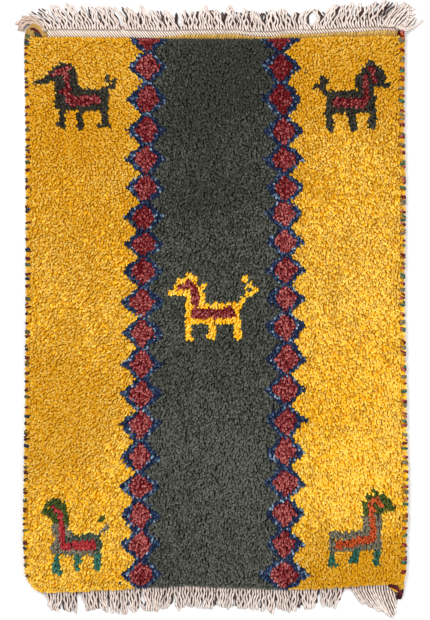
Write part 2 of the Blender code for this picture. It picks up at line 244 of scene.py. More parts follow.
# The animals, each drawn in lines of chart steps from the middle of its body
Line = namedtuple("Line", "wool half_width points")
TOP_LEFT_ANIMAL = [
    Line("dark_brown", 1.5, [(-45, 18), (-32, 19)]),
    Line("dark_brown", 3.0, [(-33, 22), (-22, 20.5)]),
    Line("dark_brown", 2.7, [(-32, 24), (-18, 35)]),
    Line("dark_brown", 3.1, [(-18, 35), (-8, 29), (-6, 17)]),
    Line("dark_brown", 3.2, [(-21, 17), (-22, -6)]),
    Line("dark_brown", 3.2, [(-8, 12), (-5, 7)]),
    Line("dark_brown", 3.6, [(-7, 14), (3, 7), (21, 7.5)]),
    Line("dark_brown", 3.6, [(24, 8), (24, -10)]),
    Line("dark_brown", 2.8, [(-20, -7), (24, -8)]),
    Line("dark_brown", 3.0, [(-18, -8), (-18, -25)]),
    Line("dark_brown", 1.9, [(-22, -23), (-18, -25)]),
    Line("dark_brown", 3.0, [(0, -10), (0, -26)]),
    Line("dark_brown", 3.4, [(24, -10), (24, -24)]),
    Line("dark_brown", 1.9, [(18, -26), (29, -25)]),
    Line("dark_brown", 1.7, [(21, 10), (26, 12), (34, 15)]),
    Line("dark_brown", 2.4, [(34, 15), (33, 20)]),
    Line("dark_brown", 2.0, [(28, 24), (27, 20)]),
    Line("crimson", 3.0, [(-28, 25), (-12, 32)]),
    Line("crimson", 2.8, [(-15, 25), (-11.5, 13), (-18, 9)]),
    Line("crimson", 3.2, [(-18, 9), (-11, 5)]),
    Line("crimson", 4.9, [(-11, -0.5), (15.5, 0)]),
]
TOP_RIGHT_ANIMAL = [
    Line("dark_brown", 2.2, [(24, 17), (37, 15), (30, 19)]),
    Line("dark_brown", 2.8, [(18.5, 36.5), (28.5, 30.5), (32, 21)]),
    Line("dark_brown", 3.0, [(22, 19.5), (31, 21)]),
    Line("dark_brown", 3.2, [(13.5, 30.5), (17, 27)]),
    Line("dark_brown", 3.2, [(9, 23), (8, 15)]),
    Line("dark_brown", 3.2, [(20.5, 20), (21.5, -9.5)]),
    Line("dark_brown", 1.8, [(21, 1), (25, 1.5)]),
    Line("dark_brown", 2.8, [(-23, 6.5), (8, 8)]),
    Line("dark_brown", 3.0, [(-21.5, 5), (-20.5, -11)]),
    Line("dark_brown", 2.8, [(-20.5, -10.5), (21.5, -9.5)]),
    Line("dark_brown", 3.2, [(-21.5, -13), (-20.5, -28)]),
    Line("dark_brown", 1.8, [(-25, -14), (-21, -15)]),
    Line("dark_brown", 3.4, [(-1, -11), (3, -27)]),
    Line("dark_brown", 3.2, [(23, -10.5), (20.5, -26)]),
    Line("dark_brown", 2.3, [(-26, 7), (-28, 14)]),
    Line("dark_brown", 1.8, [(-28, 15.5), (-37, 13.5)]),
    Line("dark_brown", 2.7, [(-28.5, 22.5), (-25, 19)]),
    Line("crimson", 2.8, [(20, 32), (25, 20)]),
    Line("crimson", 2.8, [(14.5, 23.5), (16, 4)]),
    Line("crimson", 4.8, [(-14, -2), (13, -2.5)]),
]
MIDDLE_ANIMAL = [
    Line("pale_gold", 2.8, [(-43, 15), (-27.5, 14.5)]),
    Line("pale_gold", 1.1, [(-38, 21), (-37, 18.5)]),
    Line("pale_gold", 2.7, [(-33.5, 26.5), (-27.5, 25.5)]),
    Line("pale_gold", 2.3, [(-23.5, 32), (-17.5, 27.5), (-19, 22)]),
    Line("pale_gold", 2.5, [(-9.5, 22), (-13.5, 17), (-10, 10.5)]),
    Line("pale_gold", 3.4, [(-10, 10.5), (-13, 0.5)]),
    Line("pale_gold", 3.0, [(-24, 14), (-24, -11.5)]),
    Line("pale_gold", 2.8, [(-13, 0.5), (26, 1)]),
    Line("pale_gold", 3.2, [(24, 0.5), (24.5, -13)]),
    Line("pale_gold", 2.8, [(-24, -13.5), (24.5, -13.5)]),
    Line("pale_gold", 2.8, [(-25, -15), (-24, -28)]),
    Line("pale_gold", 1.6, [(-26, -30), (-21, -32)]),
    Line("pale_gold", 2.9, [(-1, -15.5), (0, -30)]),
    Line("pale_gold", 1.5, [(-5, -30), (0, -31)]),
    Line("pale_gold", 3.3, [(24, -15), (25.5, -29)]),
    Line("pale_gold", 1.7, [(26, 2), (28, 5)]),
    Line("pale_gold", 2.6, [(30, 8), (30.5, 8.5)]),
    Line("pale_gold", 2.6, [(35.5, 12.5), (37, 13.5)]),
    Line("pale_gold", 2.6, [(42, 17), (42, 18)]),
    Line("pale_gold", 2.2, [(36.5, 22.5), (34, 19)]),
    Line("pale_gold", 2.8, [(30, 27.5), (32, 27.5)]),
    Line("crimson", 3.0, [(-23.5, 26), (-21.5, 21)]),
    Line("crimson", 3.1, [(-32, 20.5), (-21, 20)]),
    Line("crimson", 1.2, [(-36, 17), (-34, 18)]),
    Line("crimson", 4.2, [(-18.5, 17), (-17.5, 4)]),
    Line("crimson", 5.2, [(-16.5, -6), (18, -6)]),
    Line("crimson", 1.8, [(17, -2), (17, 1)]),
]
BOTTOM_LEFT_ANIMAL = [
    Line("olive", 3.4, [(-32.5, 28), (-22, 25)]),
    Line("olive", 3.2, [(-29, 35.5), (-19, 38.5), (-15.5, 35.5)]),
    Line("olive", 3.4, [(-15.5, 35.5), (-12.5, 19)]),
    Line("olive", 3.0, [(-24, 24), (-22, 20)]),
    Line("grey", 3.0, [(-23.5, 15), (-20.5, 0)]),
    Line("grey", 3.0, [(-12, 13), (-8.5, 3.5)]),
    Line("grey", 3.0, [(-22, -12), (17, -12)]),
    Line("grey", 3.7, [(-22, -5), (-22, -10)]),
    Line("pine", 3.3, [(-10.5, 2), (20, 2.5)]),
    Line("pine", 3.5, [(20, 0), (20, -11)]),
    Line("teal", 3.0, [(-20, -16), (-22.5, -27), (-22.5, -30)]),
    Line("teal", 1.8, [(-22.5, -31), (-17.5, -32.5)]),
    Line("teal", 3.0, [(0, -15), (-1, -27)]),
    Line("teal", 3.4, [(20, -14), (19.5, -27)]),
    Line("olive", 2.1, [(23.5, 20), (25, 23)]),
    Line("grey", 1.7, [(28, 12), (29, 14)]),
    Line("grey", 1.7, [(24, 9), (26, 10)]),
    Line("red", 3.1, [(-23.5, 32), (-21, 29), (-18, 28.5)]),
    Line("red", 2.3, [(-18, 28.5), (-16.5, 5.5)]),
    Line("red", 3.0, [(-16, 4), (-15, -2)]),
    Line("red", 4.4, [(-13.5, -6), (14, -4.8)]),
]
BOTTOM_RIGHT_ANIMAL = [
    Line("olive", 1.3, [(13, 52), (16.5, 46)]),
    Line("olive", 3.0, [(9, 42.5), (23.5, 43), (30, 35)]),
    Line("olive", 2.8, [(33, 33), (25, 31), (18, 28)]),
    Line("olive", 3.2, [(6, 36), (6, 27)]),
    Line("grey", 2.8, [(5, 23), (6, 9.5)]),
    Line("grey", 3.0, [(18, 23), (18, -6)]),
    Line("grey", 3.2, [(-27.5, 5), (4, 7)]),
    Line("grey", 3.0, [(-27, 5), (-27, -12)]),
    Line("grey", 3.0, [(-25, -8), (18, -6)]),
    Line("teal", 3.0, [(-27.5, -15), (-28.5, -22)]),
    Line("teal", 1.7, [(-31.5, -24.5), (-23, -24.5)]),
    Line("teal", 3.2, [(-4, -9), (-5.5, -20)]),
    Line("teal", 2.4, [(-9, -20.5), (-4, -21)]),
    Line("teal", 3.0, [(17.5, -12), (16.5, -22)]),
    Line("orange", 2.6, [(10.5, 36), (16.5, 42), (21.5, 34.5)]),
    Line("orange", 2.8, [(12, 34.5), (13, 6.5)]),
    Line("orange", 3.8, [(-21, -5), (13, 2)]),
]
# Where the middle of each animal's body is, across and along
ANIMALS = [
    {"lines": TOP_LEFT_ANIMAL, "across": 0.0597, "along": 0.5272},
    {"lines": TOP_RIGHT_ANIMAL, "across": 0.3513, "along": 0.5272},
    {"lines": MIDDLE_ANIMAL, "across": 0.2028, "along": 0.3045},
    {"lines": BOTTOM_LEFT_ANIMAL, "across": 0.0576, "along": 0.0538},
    {"lines": BOTTOM_RIGHT_ANIMAL, "across": 0.3610, "along": 0.0538},
]

# The wools, as they look: the sides of the yarn, its lighter tips, sun-faded and with painted highlights, and its
# roots, darker from deeper dye and painted shade
WOOLS = {
    "gold": {"main": (200, 147, 12), "tip": (255, 228, 132), "root": (206, 140, 0)},
    "pale_gold": {"main": (246, 190, 24), "tip": (255, 242, 140), "root": (232, 160, 0)},
    "charcoal": {"main": (66, 68, 60), "tip": (128, 130, 120), "root": (30, 32, 26)},
    "dark_brown": {"main": (52, 49, 41), "tip": (100, 97, 86), "root": (26, 24, 18)},
    "crimson": {"main": (114, 12, 22), "tip": (246, 152, 144), "root": (78, 0, 8)},
    "navy": {"main": (26, 38, 70), "tip": (48, 66, 102), "root": (12, 18, 36)},
    "steel_blue": {"main": (42, 60, 92), "tip": (106, 132, 158), "root": (20, 32, 54)},
    "pale_blue": {"main": (104, 130, 156), "tip": (200, 214, 222), "root": (44, 62, 88)},
    "olive": {"main": (62, 78, 30), "tip": (108, 124, 62), "root": (30, 40, 12)},
    "grey": {"main": (116, 110, 92), "tip": (158, 150, 130), "root": (66, 62, 48)},
    "pine": {"main": (66, 78, 64), "tip": (110, 122, 104), "root": (32, 40, 32)},
    "teal": {"main": (46, 98, 80), "tip": (104, 160, 140), "root": (18, 52, 42)},
    "orange": {"main": (192, 78, 34), "tip": (226, 122, 76), "root": (120, 40, 12)},
    "red": {"main": (166, 36, 44), "tip": (216, 104, 102), "root": (104, 10, 18)},
    "maroon": {"main": (84, 22, 34), "tip": (134, 62, 68), "root": (40, 8, 16)},
    "dull_gold": {"main": (222, 184, 100), "tip": (244, 214, 146), "root": (176, 130, 52)},
    "tan_gold": {"main": (198, 160, 92), "tip": (220, 188, 128), "root": (132, 98, 44)},
}
# A warp's root colour is also the painted shade on the yarn's underside
WARP = {"main": (236, 221, 211), "tip": (250, 241, 235), "root": (104, 70, 60)}
# The bottom fringe's warp: the same warp with a darker root colour, so its painted shade on undersides and roots is
# darker
SHADED_BOTTOM_WARP = {"main": (236, 220, 210), "tip": (250, 240, 233), "root": (78, 50, 42)}
# The fringe's strip in a darkened cream: painted shade where it shows between the strands
SHADED_GROUND_WARP = {"main": (226, 206, 192), "tip": (236, 220, 208), "root": (178, 150, 134)}
TWINING = {"main": (246, 230, 214), "tip": (255, 248, 238), "root": (128, 96, 78)}
TAN_WARP = {"main": (208, 184, 168), "tip": (228, 206, 192), "root": (84, 56, 48)}
STAINED_WARP = {"main": (236, 220, 210), "tip": (150, 88, 66), "root": (120, 84, 72)}
# Dark strands under the fringe: painted shadow in the gaps between its strands
PAINTED_SHADOW_WARP = {"main": (72, 50, 44), "tip": (104, 78, 70), "root": (44, 28, 24)}

# The selvedge ropes, as in the solids, and their overcasting yarn
ROPE_WIDTH = 0.0068
ROPE_HEIGHT = 0.0060
ROPE_INSET = 0.0034
LEFT_ROPE_TOP = [
    {"inset": 0.0150, "past": 0.0046},
    {"inset": 0.0100, "past": 0.0048},
    {"inset": 0.0064, "past": 0.0040},
    {"inset": 0.0042, "past": 0.0016},
    {"inset": 0.0034, "past": -0.0030},
]
LEFT_ROPE_CORNER = [
    {"across": 0.0034, "along": 0.0240},
    {"across": 0.0034, "along": 0.0150},
    {"across": 0.0034, "along": 0.0080},
    {"across": 0.0034, "along": 0.0034},
    {"across": 0.0080, "along": 0.0034},
    {"across": 0.0150, "along": 0.0034},
    {"across": 0.0212, "along": 0.0034},
]
RIGHT_ROPE_TOP = [
    {"inset": 0.0038, "past": 0.0050},
    {"inset": 0.0034, "past": 0.0000},
]
RIGHT_ROPE_BOTTOM = [
    {"inset": 0.0034, "past": 0.0000},
    {"inset": 0.0034, "past": 0.0060},
    {"inset": 0.0040, "past": 0.0110},
    {"inset": 0.0054, "past": 0.0155},
]
STAINED_ENDS = [
    {"across": 0.020, "share": 0.20},
    {"across": 0.110, "share": 0.26},
    {"across": 0.160, "share": 0.04},
    {"across": 0.400, "share": 0.04},
]
WRAP_PITCH = 0.0022
WRAP_RADIUS = 0.00115
WRAP_SLANT = 0.0016
WRAP_STEPS = 10
LEFT_WRAPS = {"tan_gold": 0.46, "maroon": 0.24, "pine": 0.16, "navy": 0.14}
RIGHT_WRAPS = {"tan_gold": 0.44, "crimson": 0.28, "teal": 0.12, "grey": 0.08, "navy": 0.08}
# The wraps at each rope's top end, and how many plain ones are at its bottom end
LEFT_HEAD = "tan_gold tan_gold maroon pine tan_gold maroon pine tan_gold tan_gold pine pine maroon maroon".split()
RIGHT_HEAD = "grey crimson crimson crimson tan_gold tan_gold grey grey".split()
RIGHT_TAIL = ("maroon", 8)

# The fringe, as in the solids, and its yarn
STRIP_HEIGHT = 0.0030
STRIP_INNER = -0.0040
TOP_STRIP = {"start": 0.0160, "finish": 0.4026, "outer": 0.0128}
BOTTOM_STRIP = {"start": 0.0230, "finish": 0.3990, "outer": 0.0034}
STRAND_PITCH = 0.0029
STRAND_STEPS = 15
STRAND_BEND = 1.4
STRAND_SET = 0.3
STRAND_TIP_SHARE = 0.84
BUNCH_SIZES = (2, 3, 4, 5)
BUNCH_PULL = {"top": 0.62, "bottom": 0.30}
BUNCH_STRAY = {"top": 0.0028, "bottom": 0.0019}
REACH_VARIATION = 0.0026
MEANDER = {"top": 0.00105, "bottom": 0.00070}
MEANDER_LENGTH = 0.0130
PLY_RADIUS = 0.00102
PLY_OFFSET = 0.00038
PLY_TURN_LENGTH = 0.0150
LONGER_AT_TOP = 0.0014
# The lower layer of dark strands: painted shadow between the fringe's strands
LOWER_RADIUS = 0.0014
LOWER_TIP_SHARE = 0.5
LOOSE_STRAY = 0.0017
LOWER_REACH = {"top": 0.86, "bottom": 0.86}
# From here to the right the bottom strands sweep aside together
CLUMP_START = 0.350
CLUMP_STRAY = 0.25
TOP_FRINGE = [
    {"across": 0.016, "reach": 0.0045, "lean": -0.0280},
    {"across": 0.024, "reach": 0.0130, "lean": -0.0210},
    {"across": 0.036, "reach": 0.0190, "lean": -0.0160},
    {"across": 0.060, "reach": 0.0215, "lean": -0.0115},
    {"across": 0.090, "reach": 0.0200, "lean": -0.0080},
    {"across": 0.130, "reach": 0.0190, "lean": -0.0060},
    {"across": 0.164, "reach": 0.0180, "lean": -0.0070},
    {"across": 0.172, "reach": 0.0180, "lean": -0.0010},
    {"across": 0.200, "reach": 0.0200, "lean": -0.0020},
    {"across": 0.250, "reach": 0.0170, "lean": -0.0015},
    {"across": 0.306, "reach": 0.0165, "lean": -0.0010},
    {"across": 0.314, "reach": 0.0170, "lean": 0.0030},
    {"across": 0.350, "reach": 0.0190, "lean": 0.0070},
    {"across": 0.380, "reach": 0.0215, "lean": 0.0130},
    {"across": 0.392, "reach": 0.0170, "lean": 0.0190},
    {"across": 0.403, "reach": 0.0070, "lean": 0.0260},
]
GAPS = {
    "top": [
        {"across": 0.1055, "width": 0.004, "push": 0.0030, "closed": False, "missing": 0.0020},
        {"across": 0.1660, "width": 0.005, "push": 0.0030, "closed": False, "missing": 0.0000},
        {"across": 0.3095, "width": 0.007, "push": 0.0052, "closed": True, "missing": 0.0000},
    ],
    "bottom": [
        {"across": 0.0590, "width": 0.005, "push": 0.0020, "closed": False, "missing": 0.0056},
        {"across": 0.0900, "width": 0.004, "push": 0.0022, "closed": False, "missing": 0.0000},
        {"across": 0.1260, "width": 0.004, "push": 0.0026, "closed": True, "missing": 0.0000},
        {"across": 0.3180, "width": 0.004, "push": 0.0026, "closed": False, "missing": 0.0000},
        {"across": 0.3490, "width": 0.006, "push": 0.0030, "closed": False, "missing": 0.0090},
    ],
}
# Bundles that flop over at the top corners, between two outer lines of (across, out)
LOOSE_BUNDLES = [
    {
        "count": 10,
        "wool": "tan_warp",
        "height": 0.0056,
        "first": [(0.0240, 0.0050), (0.0170, 0.0140), (0.0080, 0.0215), (-0.0010, 0.0220), (-0.0115, 0.0175)],
        "last": [(0.0170, 0.0062), (0.0105, 0.0125), (0.0040, 0.0150), (-0.0010, 0.0130), (-0.0040, 0.0095)],
    },
    {
        "count": 5,
        "wool": "warp",
        "height": 0.0070,
        "first": [(0.4010, 0.0040), (0.4060, 0.0075), (0.4120, 0.0150), (0.4160, 0.0240)],
        "last": [(0.4070, 0.0020), (0.4150, 0.0050), (0.4250, 0.0120), (0.4340, 0.0200)],
    },
    {
        "count": 7,
        "wool": "warp",
        "height": 0.0050,
        "first": [(0.3860, 0.0050), (0.3920, 0.0160), (0.3990, 0.0270), (0.4030, 0.0330)],
        "last": [(0.4000, 0.0050), (0.4060, 0.0130), (0.4130, 0.0220), (0.4200, 0.0290)],
    },
]
BOTTOM_FRINGE = [
    {"across": 0.022, "reach": 0.0140, "lean": 0.0000},
    {"across": 0.040, "reach": 0.0190, "lean": 0.0005},
    {"across": 0.055, "reach": 0.0215, "lean": -0.0010},
    {"across": 0.062, "reach": 0.0200, "lean": 0.0035},
    {"across": 0.100, "reach": 0.0215, "lean": 0.0015},
    {"across": 0.160, "reach": 0.0225, "lean": -0.0005},
    {"across": 0.230, "reach": 0.0210, "lean": -0.0010},
    {"across": 0.290, "reach": 0.0220, "lean": 0.0000},
    {"across": 0.318, "reach": 0.0190, "lean": -0.0015},
    {"across": 0.343, "reach": 0.0175, "lean": -0.0025},
    {"across": 0.351, "reach": 0.0165, "lean": 0.0110},
    {"across": 0.372, "reach": 0.0290, "lean": 0.0180},
    {"across": 0.386, "reach": 0.0340, "lean": 0.0110},
    {"across": 0.399, "reach": 0.0190, "lean": 0.0050},
]

# The bands between the pile and the fringe: gold flat weave, then slanting cream twining
BANDS = [
    {"across": 0.016, "twining": -0.0016, "finish": 0.0087},
    {"across": 0.120, "twining": -0.0012, "finish": 0.0088},
    {"across": 0.150, "twining": 0.0026, "finish": 0.0090},
    {"across": 0.175, "twining": 0.0050, "finish": 0.0100},
    {"across": 0.225, "twining": 0.0054, "finish": 0.0102},
    {"across": 0.243, "twining": 0.0030, "finish": 0.0084},
    {"across": 0.262, "twining": 0.0022, "finish": 0.0080},
    {"across": 0.285, "twining": 0.0044, "finish": 0.0092},
    {"across": 0.350, "twining": 0.0026, "finish": 0.0074},
    {"across": 0.403, "twining": 0.0018, "finish": 0.0050},
]
EXTRA_WARPS = 4
TWINING_RADIUS = 0.00112
TWINING_SLANT = 0.55
FLAT_WEAVE_PITCH = 0.0017
FLAT_WEAVE_RADIUS = 0.00075

# Coloured overcasting yarns that show at the sides between the tufts
SIDES = {
    "left": {
        "radius": 0.00095,
        "pitch": 0.0090,
        "wools": ("maroon", "pine", "maroon", "navy"),
        "seed": 41,
        "start": 0.018,
        "finish": 0.580,
        "marks": [(0.5840, "maroon"), (0.5868, "pine"), (0.5895, "navy"), (0.5920, "pine")],
    },
    "right": {
        "radius": 0.0012,
        "pitch": 0.0078,
        "wools": ("crimson", "teal", "crimson", "grey"),
        "seed": 43,
        "start": 0.012,
        "finish": 0.578,
        "marks": [(0.5850, "grey"), (0.5865, "grey"), (0.5900, "orange"), (0.5935, "crimson"), (0.5955, "crimson")],
    },
}
TICK_STRAY = 0.0018
TICK_REACH = 0.0060
TICK_PARTING = 0.0028
TICK_SINK = 0.0036
TICK_SHARES = (0.30, 1.05)
TICK_SLANT = 0.0030
TICK_SECOND = 0.0019
TICK_PROFILE = [(0.0006, 0.0030), (0.0002, 0.0056), (0.0012, 0.0084), (0.0034, 0.0102), (0.0058, 0.0106)]

# Where the selvedges' yarns open out over two corners, each in a few yarns side by side
CORNER_YARNS = {
    "selvedge_right": [
        {"wool": "maroon", "count": 5, "spread": 0.0040, "height": 0.0070,
         "line": [(0.3900, 0.0030), (0.3960, -0.0020), (0.4020, -0.0060), (0.4070, -0.0125)]},
        {"wool": "gold", "count": 2, "spread": 0.0016, "height": 0.0088,
         "line": [(0.3960, -0.0035), (0.3985, -0.0060), (0.4020, -0.0080), (0.4065, -0.0085)]},
        {"wool": "gold", "count": 4, "spread": 0.0050, "height": 0.0082,
         "line": [(0.4040, 0.0010), (0.4060, -0.0015), (0.4075, -0.0040), (0.4080, -0.0065)]},
    ],
    "selvedge_left": [
        {"wool": "tan_gold", "count": 8, "spread": 0.0100, "height": 0.0098,
         "line": [(0.0050, 0.5925), (0.0062, 0.6020), (0.0110, 0.6062), (0.0160, 0.6030), (0.0200, 0.5950)]},
        {"wool": "maroon", "count": 4, "spread": 0.0044, "height": 0.0112,
         "line": [(0.0066, 0.6040), (0.0100, 0.6044), (0.0138, 0.6016), (0.0160, 0.5990), (0.0180, 0.5955)]},
        {"wool": "pine", "count": 3, "spread": 0.0026, "height": 0.0116,
         "line": [(0.0120, 0.6010), (0.0145, 0.5990), (0.0165, 0.5965), (0.0175, 0.5950)]},
        {"wool": "pine", "count": 3, "spread": 0.0034, "height": 0.0108,
         "line": [(0.0018, 0.5990), (0.0040, 0.5965), (0.0066, 0.5935), (0.0085, 0.5905)]},
        {"wool": "maroon", "count": 2, "spread": 0.0018, "height": 0.0104,
         "line": [(0.0010, 0.5930), (0.0030, 0.5910), (0.0050, 0.5895), (0.0066, 0.5885)]},
    ],
}
CORNER_YARN_RADIUS = 0.00088
CORNER_YARN_LEVELS = (0.50, 0.80)

# The camera, straight above: what it takes in at the pile's height, and where it looks
PHOTO_WIDTH = 430
PHOTO_HEIGHT = 620
VIEW_HEIGHT = PHOTO_HEIGHT * CHART_STEP
CAMERA_DISTANCE = 2.4
VIEW_MIDDLE_ALONG = 0.3012
SENSOR = 36.0


def look_up(table, key, at, column):
    """The column's value at each place, eased from one row of the table to the next."""
    keys = np.array([row[key] for row in table])
    values = np.array([row[column] for row in table])
    low = np.clip(np.searchsorted(keys, at, side="right") - 1, 0, len(keys) - 2)
    share = np.clip((at - keys[low]) / (keys[low + 1] - keys[low]), 0.0, 1.0)
    return values[low] + (values[low + 1] - values[low]) * share * share * (3 - 2 * share)


def with_round_corners(across, along):
    """The plain rectangle's square corners drawn in to arcs, along with what lies inside them."""
    across, along = across.copy(), along.copy()
    for corner in CORNERS:
        radius = corner["radius"]
        from_side = across if corner["left"] else RUG_WIDTH - across
        from_end = along if corner["bottom"] else PILE_LENGTH - along
        inside = (from_side < radius) & (from_end < radius)
        u = radius - from_side[inside]
        v = radius - from_end[inside]
        shrink = np.maximum(u, v) / np.hypot(u, v)
        new_side = radius - u * shrink
        new_end = radius - v * shrink
        across[inside] = new_side if corner["left"] else RUG_WIDTH - new_side
        along[inside] = new_end if corner["bottom"] else PILE_LENGTH - new_end
    return across, along


def plan_point(across, along):
    """Places on the rug as x and y from the plain rectangle's middle."""
    across, along = with_round_corners(*np.broadcast_arrays(across, along))
    left = -look_up(LEFT_EDGE, "along", along, "out")
    right = look_up(RIGHT_EDGE, "along", along, "out")
    bottom = -look_up(BOTTOM_EDGE, "across", across, "out")
    top = look_up(TOP_EDGE, "across", across, "out")
    share_across = np.clip(across / RUG_WIDTH, 0.0, 1.0)
    share_along = np.clip(along / PILE_LENGTH, 0.0, 1.0)
    x = across + left + (right - left) * share_across - RUG_WIDTH / 2
    y = along + bottom + (top - bottom) * share_along - PILE_LENGTH / 2
    return x, y


def middle_in_frame():
    """Where the plain rectangle's middle is in the frame, found from the lip of the solid cloth."""
    steps = np.linspace(0.0, 1.0, 400)
    x_high = plan_point(RUG_WIDTH - LIP_RIGHT, PILE_LENGTH * steps)[0].max()
    y_high = plan_point(RUG_WIDTH * steps, PILE_LENGTH - LIP_END)[1].max()
    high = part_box("cloth_with_pile")[1]
    return high[0] - x_high, high[1] - y_high


MIDDLE_X, MIDDLE_Y = middle_in_frame()


def place(across, along, height):
    """Places on the rug as points in the frame."""
    x, y = plan_point(across, along)
    return np.stack([x + MIDDLE_X, y + MIDDLE_Y, np.broadcast_to(height, x.shape)], axis=-1)


def unit(vectors):
    return vectors / np.maximum(np.linalg.norm(vectors, axis=-1, keepdims=True), 1e-12)


def tube_rings(paths, radii, sides, hint):
    """The corners of many tubes: rings round each path, then a point at its end."""
    ahead = unit(np.gradient(paths, axis=1))
    side = unit(np.cross(ahead, hint))
    other = np.cross(side, ahead)
    angles = 2 * math.pi * np.arange(sides) / sides
    cos = np.cos(angles)[:, None]
    sin = np.sin(angles)[:, None]
    around = cos * side[:, :, None, :] + sin * other[:, :, None, :]
    rings = paths[:, :, None, :] + radii[:, :, None, None] * around
    end = paths[:, -1:] + ahead[:, -1:] * radii[:, -1:, None] * 0.8
    count = len(paths)
    return np.concatenate([rings.reshape(count, -1, 3), end], axis=1)


def tube_faces(rings, sides, levels=None):
    """One tube's faces, and for each corner how far round (0 to 1) and along (0 to 1) it is."""
    levels = np.linspace(0.06, 0.90, rings) if levels is None else levels
    end = rings * sides
    faces = [tuple(range(sides))]
    places = [(s / sides, levels[0]) for s in range(sides)]
    for s in range(sides):
        after = (s + 1) % sides
        u, v = s / sides, (s + 1) / sides
        last = (rings - 1) * sides
        faces.append((end, last + after, last + s))
        places += [((u + v) / 2, 1.0), (v, levels[-1]), (u, levels[-1])]
        for r in range(rings - 1):
            low, high = r * sides, (r + 1) * sides
            faces.append((low + s, high + s, high + after, low + after))
            places += [(u, levels[r]), (u, levels[r + 1]), (v, levels[r + 1]), (v, levels[r])]
    return faces, np.array(places)


def ring_faces(steps, sides):
    """The faces of one closed ring of yarn, and how far round the yarn and the ring each corner is."""
    faces, places = [], []
    for k in range(steps):
        for s in range(sides):
            k_after, s_after = (k + 1) % steps, (s + 1) % sides
            faces.append(
                (k * sides + s, k_after * sides + s, k_after * sides + s_after, k * sides + s_after)
            )
            u, v = s / sides, (s + 1) / sides
            low, high = k / steps, (k + 1) / steps
            places += [(u, low), (u, high), (v, high), (v, low)]
    return faces, np.array(places)


def many_mesh(name, points, faces, places, tones, materials, material_of=None):
    """One mesh of many alike bodies, each with its own tone and its own cell of the bake's map."""
    count, corners = points.shape[:2]
    sizes = np.array([len(face) for face in faces])
    one = np.concatenate([np.array(face) for face in faces])
    corner_index = (one[None, :] + corners * np.arange(count)[:, None]).ravel()
    starts = np.concatenate([[0], np.cumsum(np.tile(sizes, count))[:-1]])

    mesh = bpy.data.meshes.new(name)
    mesh.vertices.add(count * corners)
    mesh.vertices.foreach_set("co", points.astype(np.float32).ravel())
    mesh.loops.add(len(corner_index))
    mesh.loops.foreach_set("vertex_index", corner_index.astype(np.int32))
    mesh.polygons.add(len(starts))
    mesh.polygons.foreach_set("loop_start", starts.astype(np.int32))
    if material_of is not None:
        slots = np.repeat(np.asarray(material_of, dtype=np.int32), len(faces))
        mesh.polygons.foreach_set("material_index", slots)
    mesh.update(calc_edges=True)

    yarn = mesh.uv_layers.new(name="yarn")
    yarn.uv.foreach_set("vector", np.tile(places, (count, 1)).astype(np.float32).ravel())
    cells = math.ceil(math.sqrt(count))
    corner_of = np.stack([np.arange(count) % cells, np.arange(count) // cells], axis=-1)
    spots = (corner_of[:, None, :] + 0.04 + 0.92 * places[None, :, :]) / cells
    bake = mesh.uv_layers.new(name="OFBake")
    bake.uv.foreach_set("vector", spots.astype(np.float32).ravel())
    tone = mesh.attributes.new("tone", "FLOAT", "POINT")
    tone.data.foreach_set("value", np.repeat(tones, corners).astype(np.float32))
    for material in materials:
        mesh.materials.append(material)
    mesh.shade_smooth()
    piece = bpy.data.objects.new(name, mesh)
    bpy.context.scene.collection.objects.link(piece)
    return piece


def hand_over(piece, slot, *nodes):
    """The piece rides on the rug and stands for its solids."""
    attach(piece, "root")
    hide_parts(*nodes)


def linear(colour):
    """A colour as it looks on a screen, from 0 to 255, as light."""
    shares = [channel / 255 for channel in colour]
    return tuple(c / 12.92 if c <= 0.04045 else ((c + 0.055) / 1.055) ** 2.4 for c in shares)


class Nodes:
    """Adds and links shader nodes in a few words."""

    def __init__(self, tree):
        self.tree = tree

    def add(self, kind, settings=None, **inputs):
        node = self.tree.nodes.new(kind)
        for key, value in (settings or {}).items():
            setattr(node, key, value)
        for key, value in inputs.items():
            socket = node.inputs[int(key[1:])] if key[1:].isdigit() else node.inputs[key.replace("_", " ")]
            if isinstance(value, bpy.types.NodeSocket):
                self.tree.links.new(value, socket)
            else:
                socket.default_value = value
        return node

    def math(self, operation, first, second=0.0):
        return self.add("ShaderNodeMath", {"operation": operation}, i0=first, i1=second).outputs[0]

    def mix(self, share, first, second, blend="MIX"):
        settings = {"data_type": "RGBA", "blend_type": blend}
        node = self.add("ShaderNodeMix", settings, i0=share, i6=first, i7=second)
        return node.outputs[2]

    def ramp(self, value, low, high, out_low=0.0, out_high=1.0):
        settings = {"clamp": True}
        node = self.add(
            "ShaderNodeMapRange", settings, i0=value, i1=low, i2=high, i3=out_low, i4=out_high
        )
        return node.outputs[0]


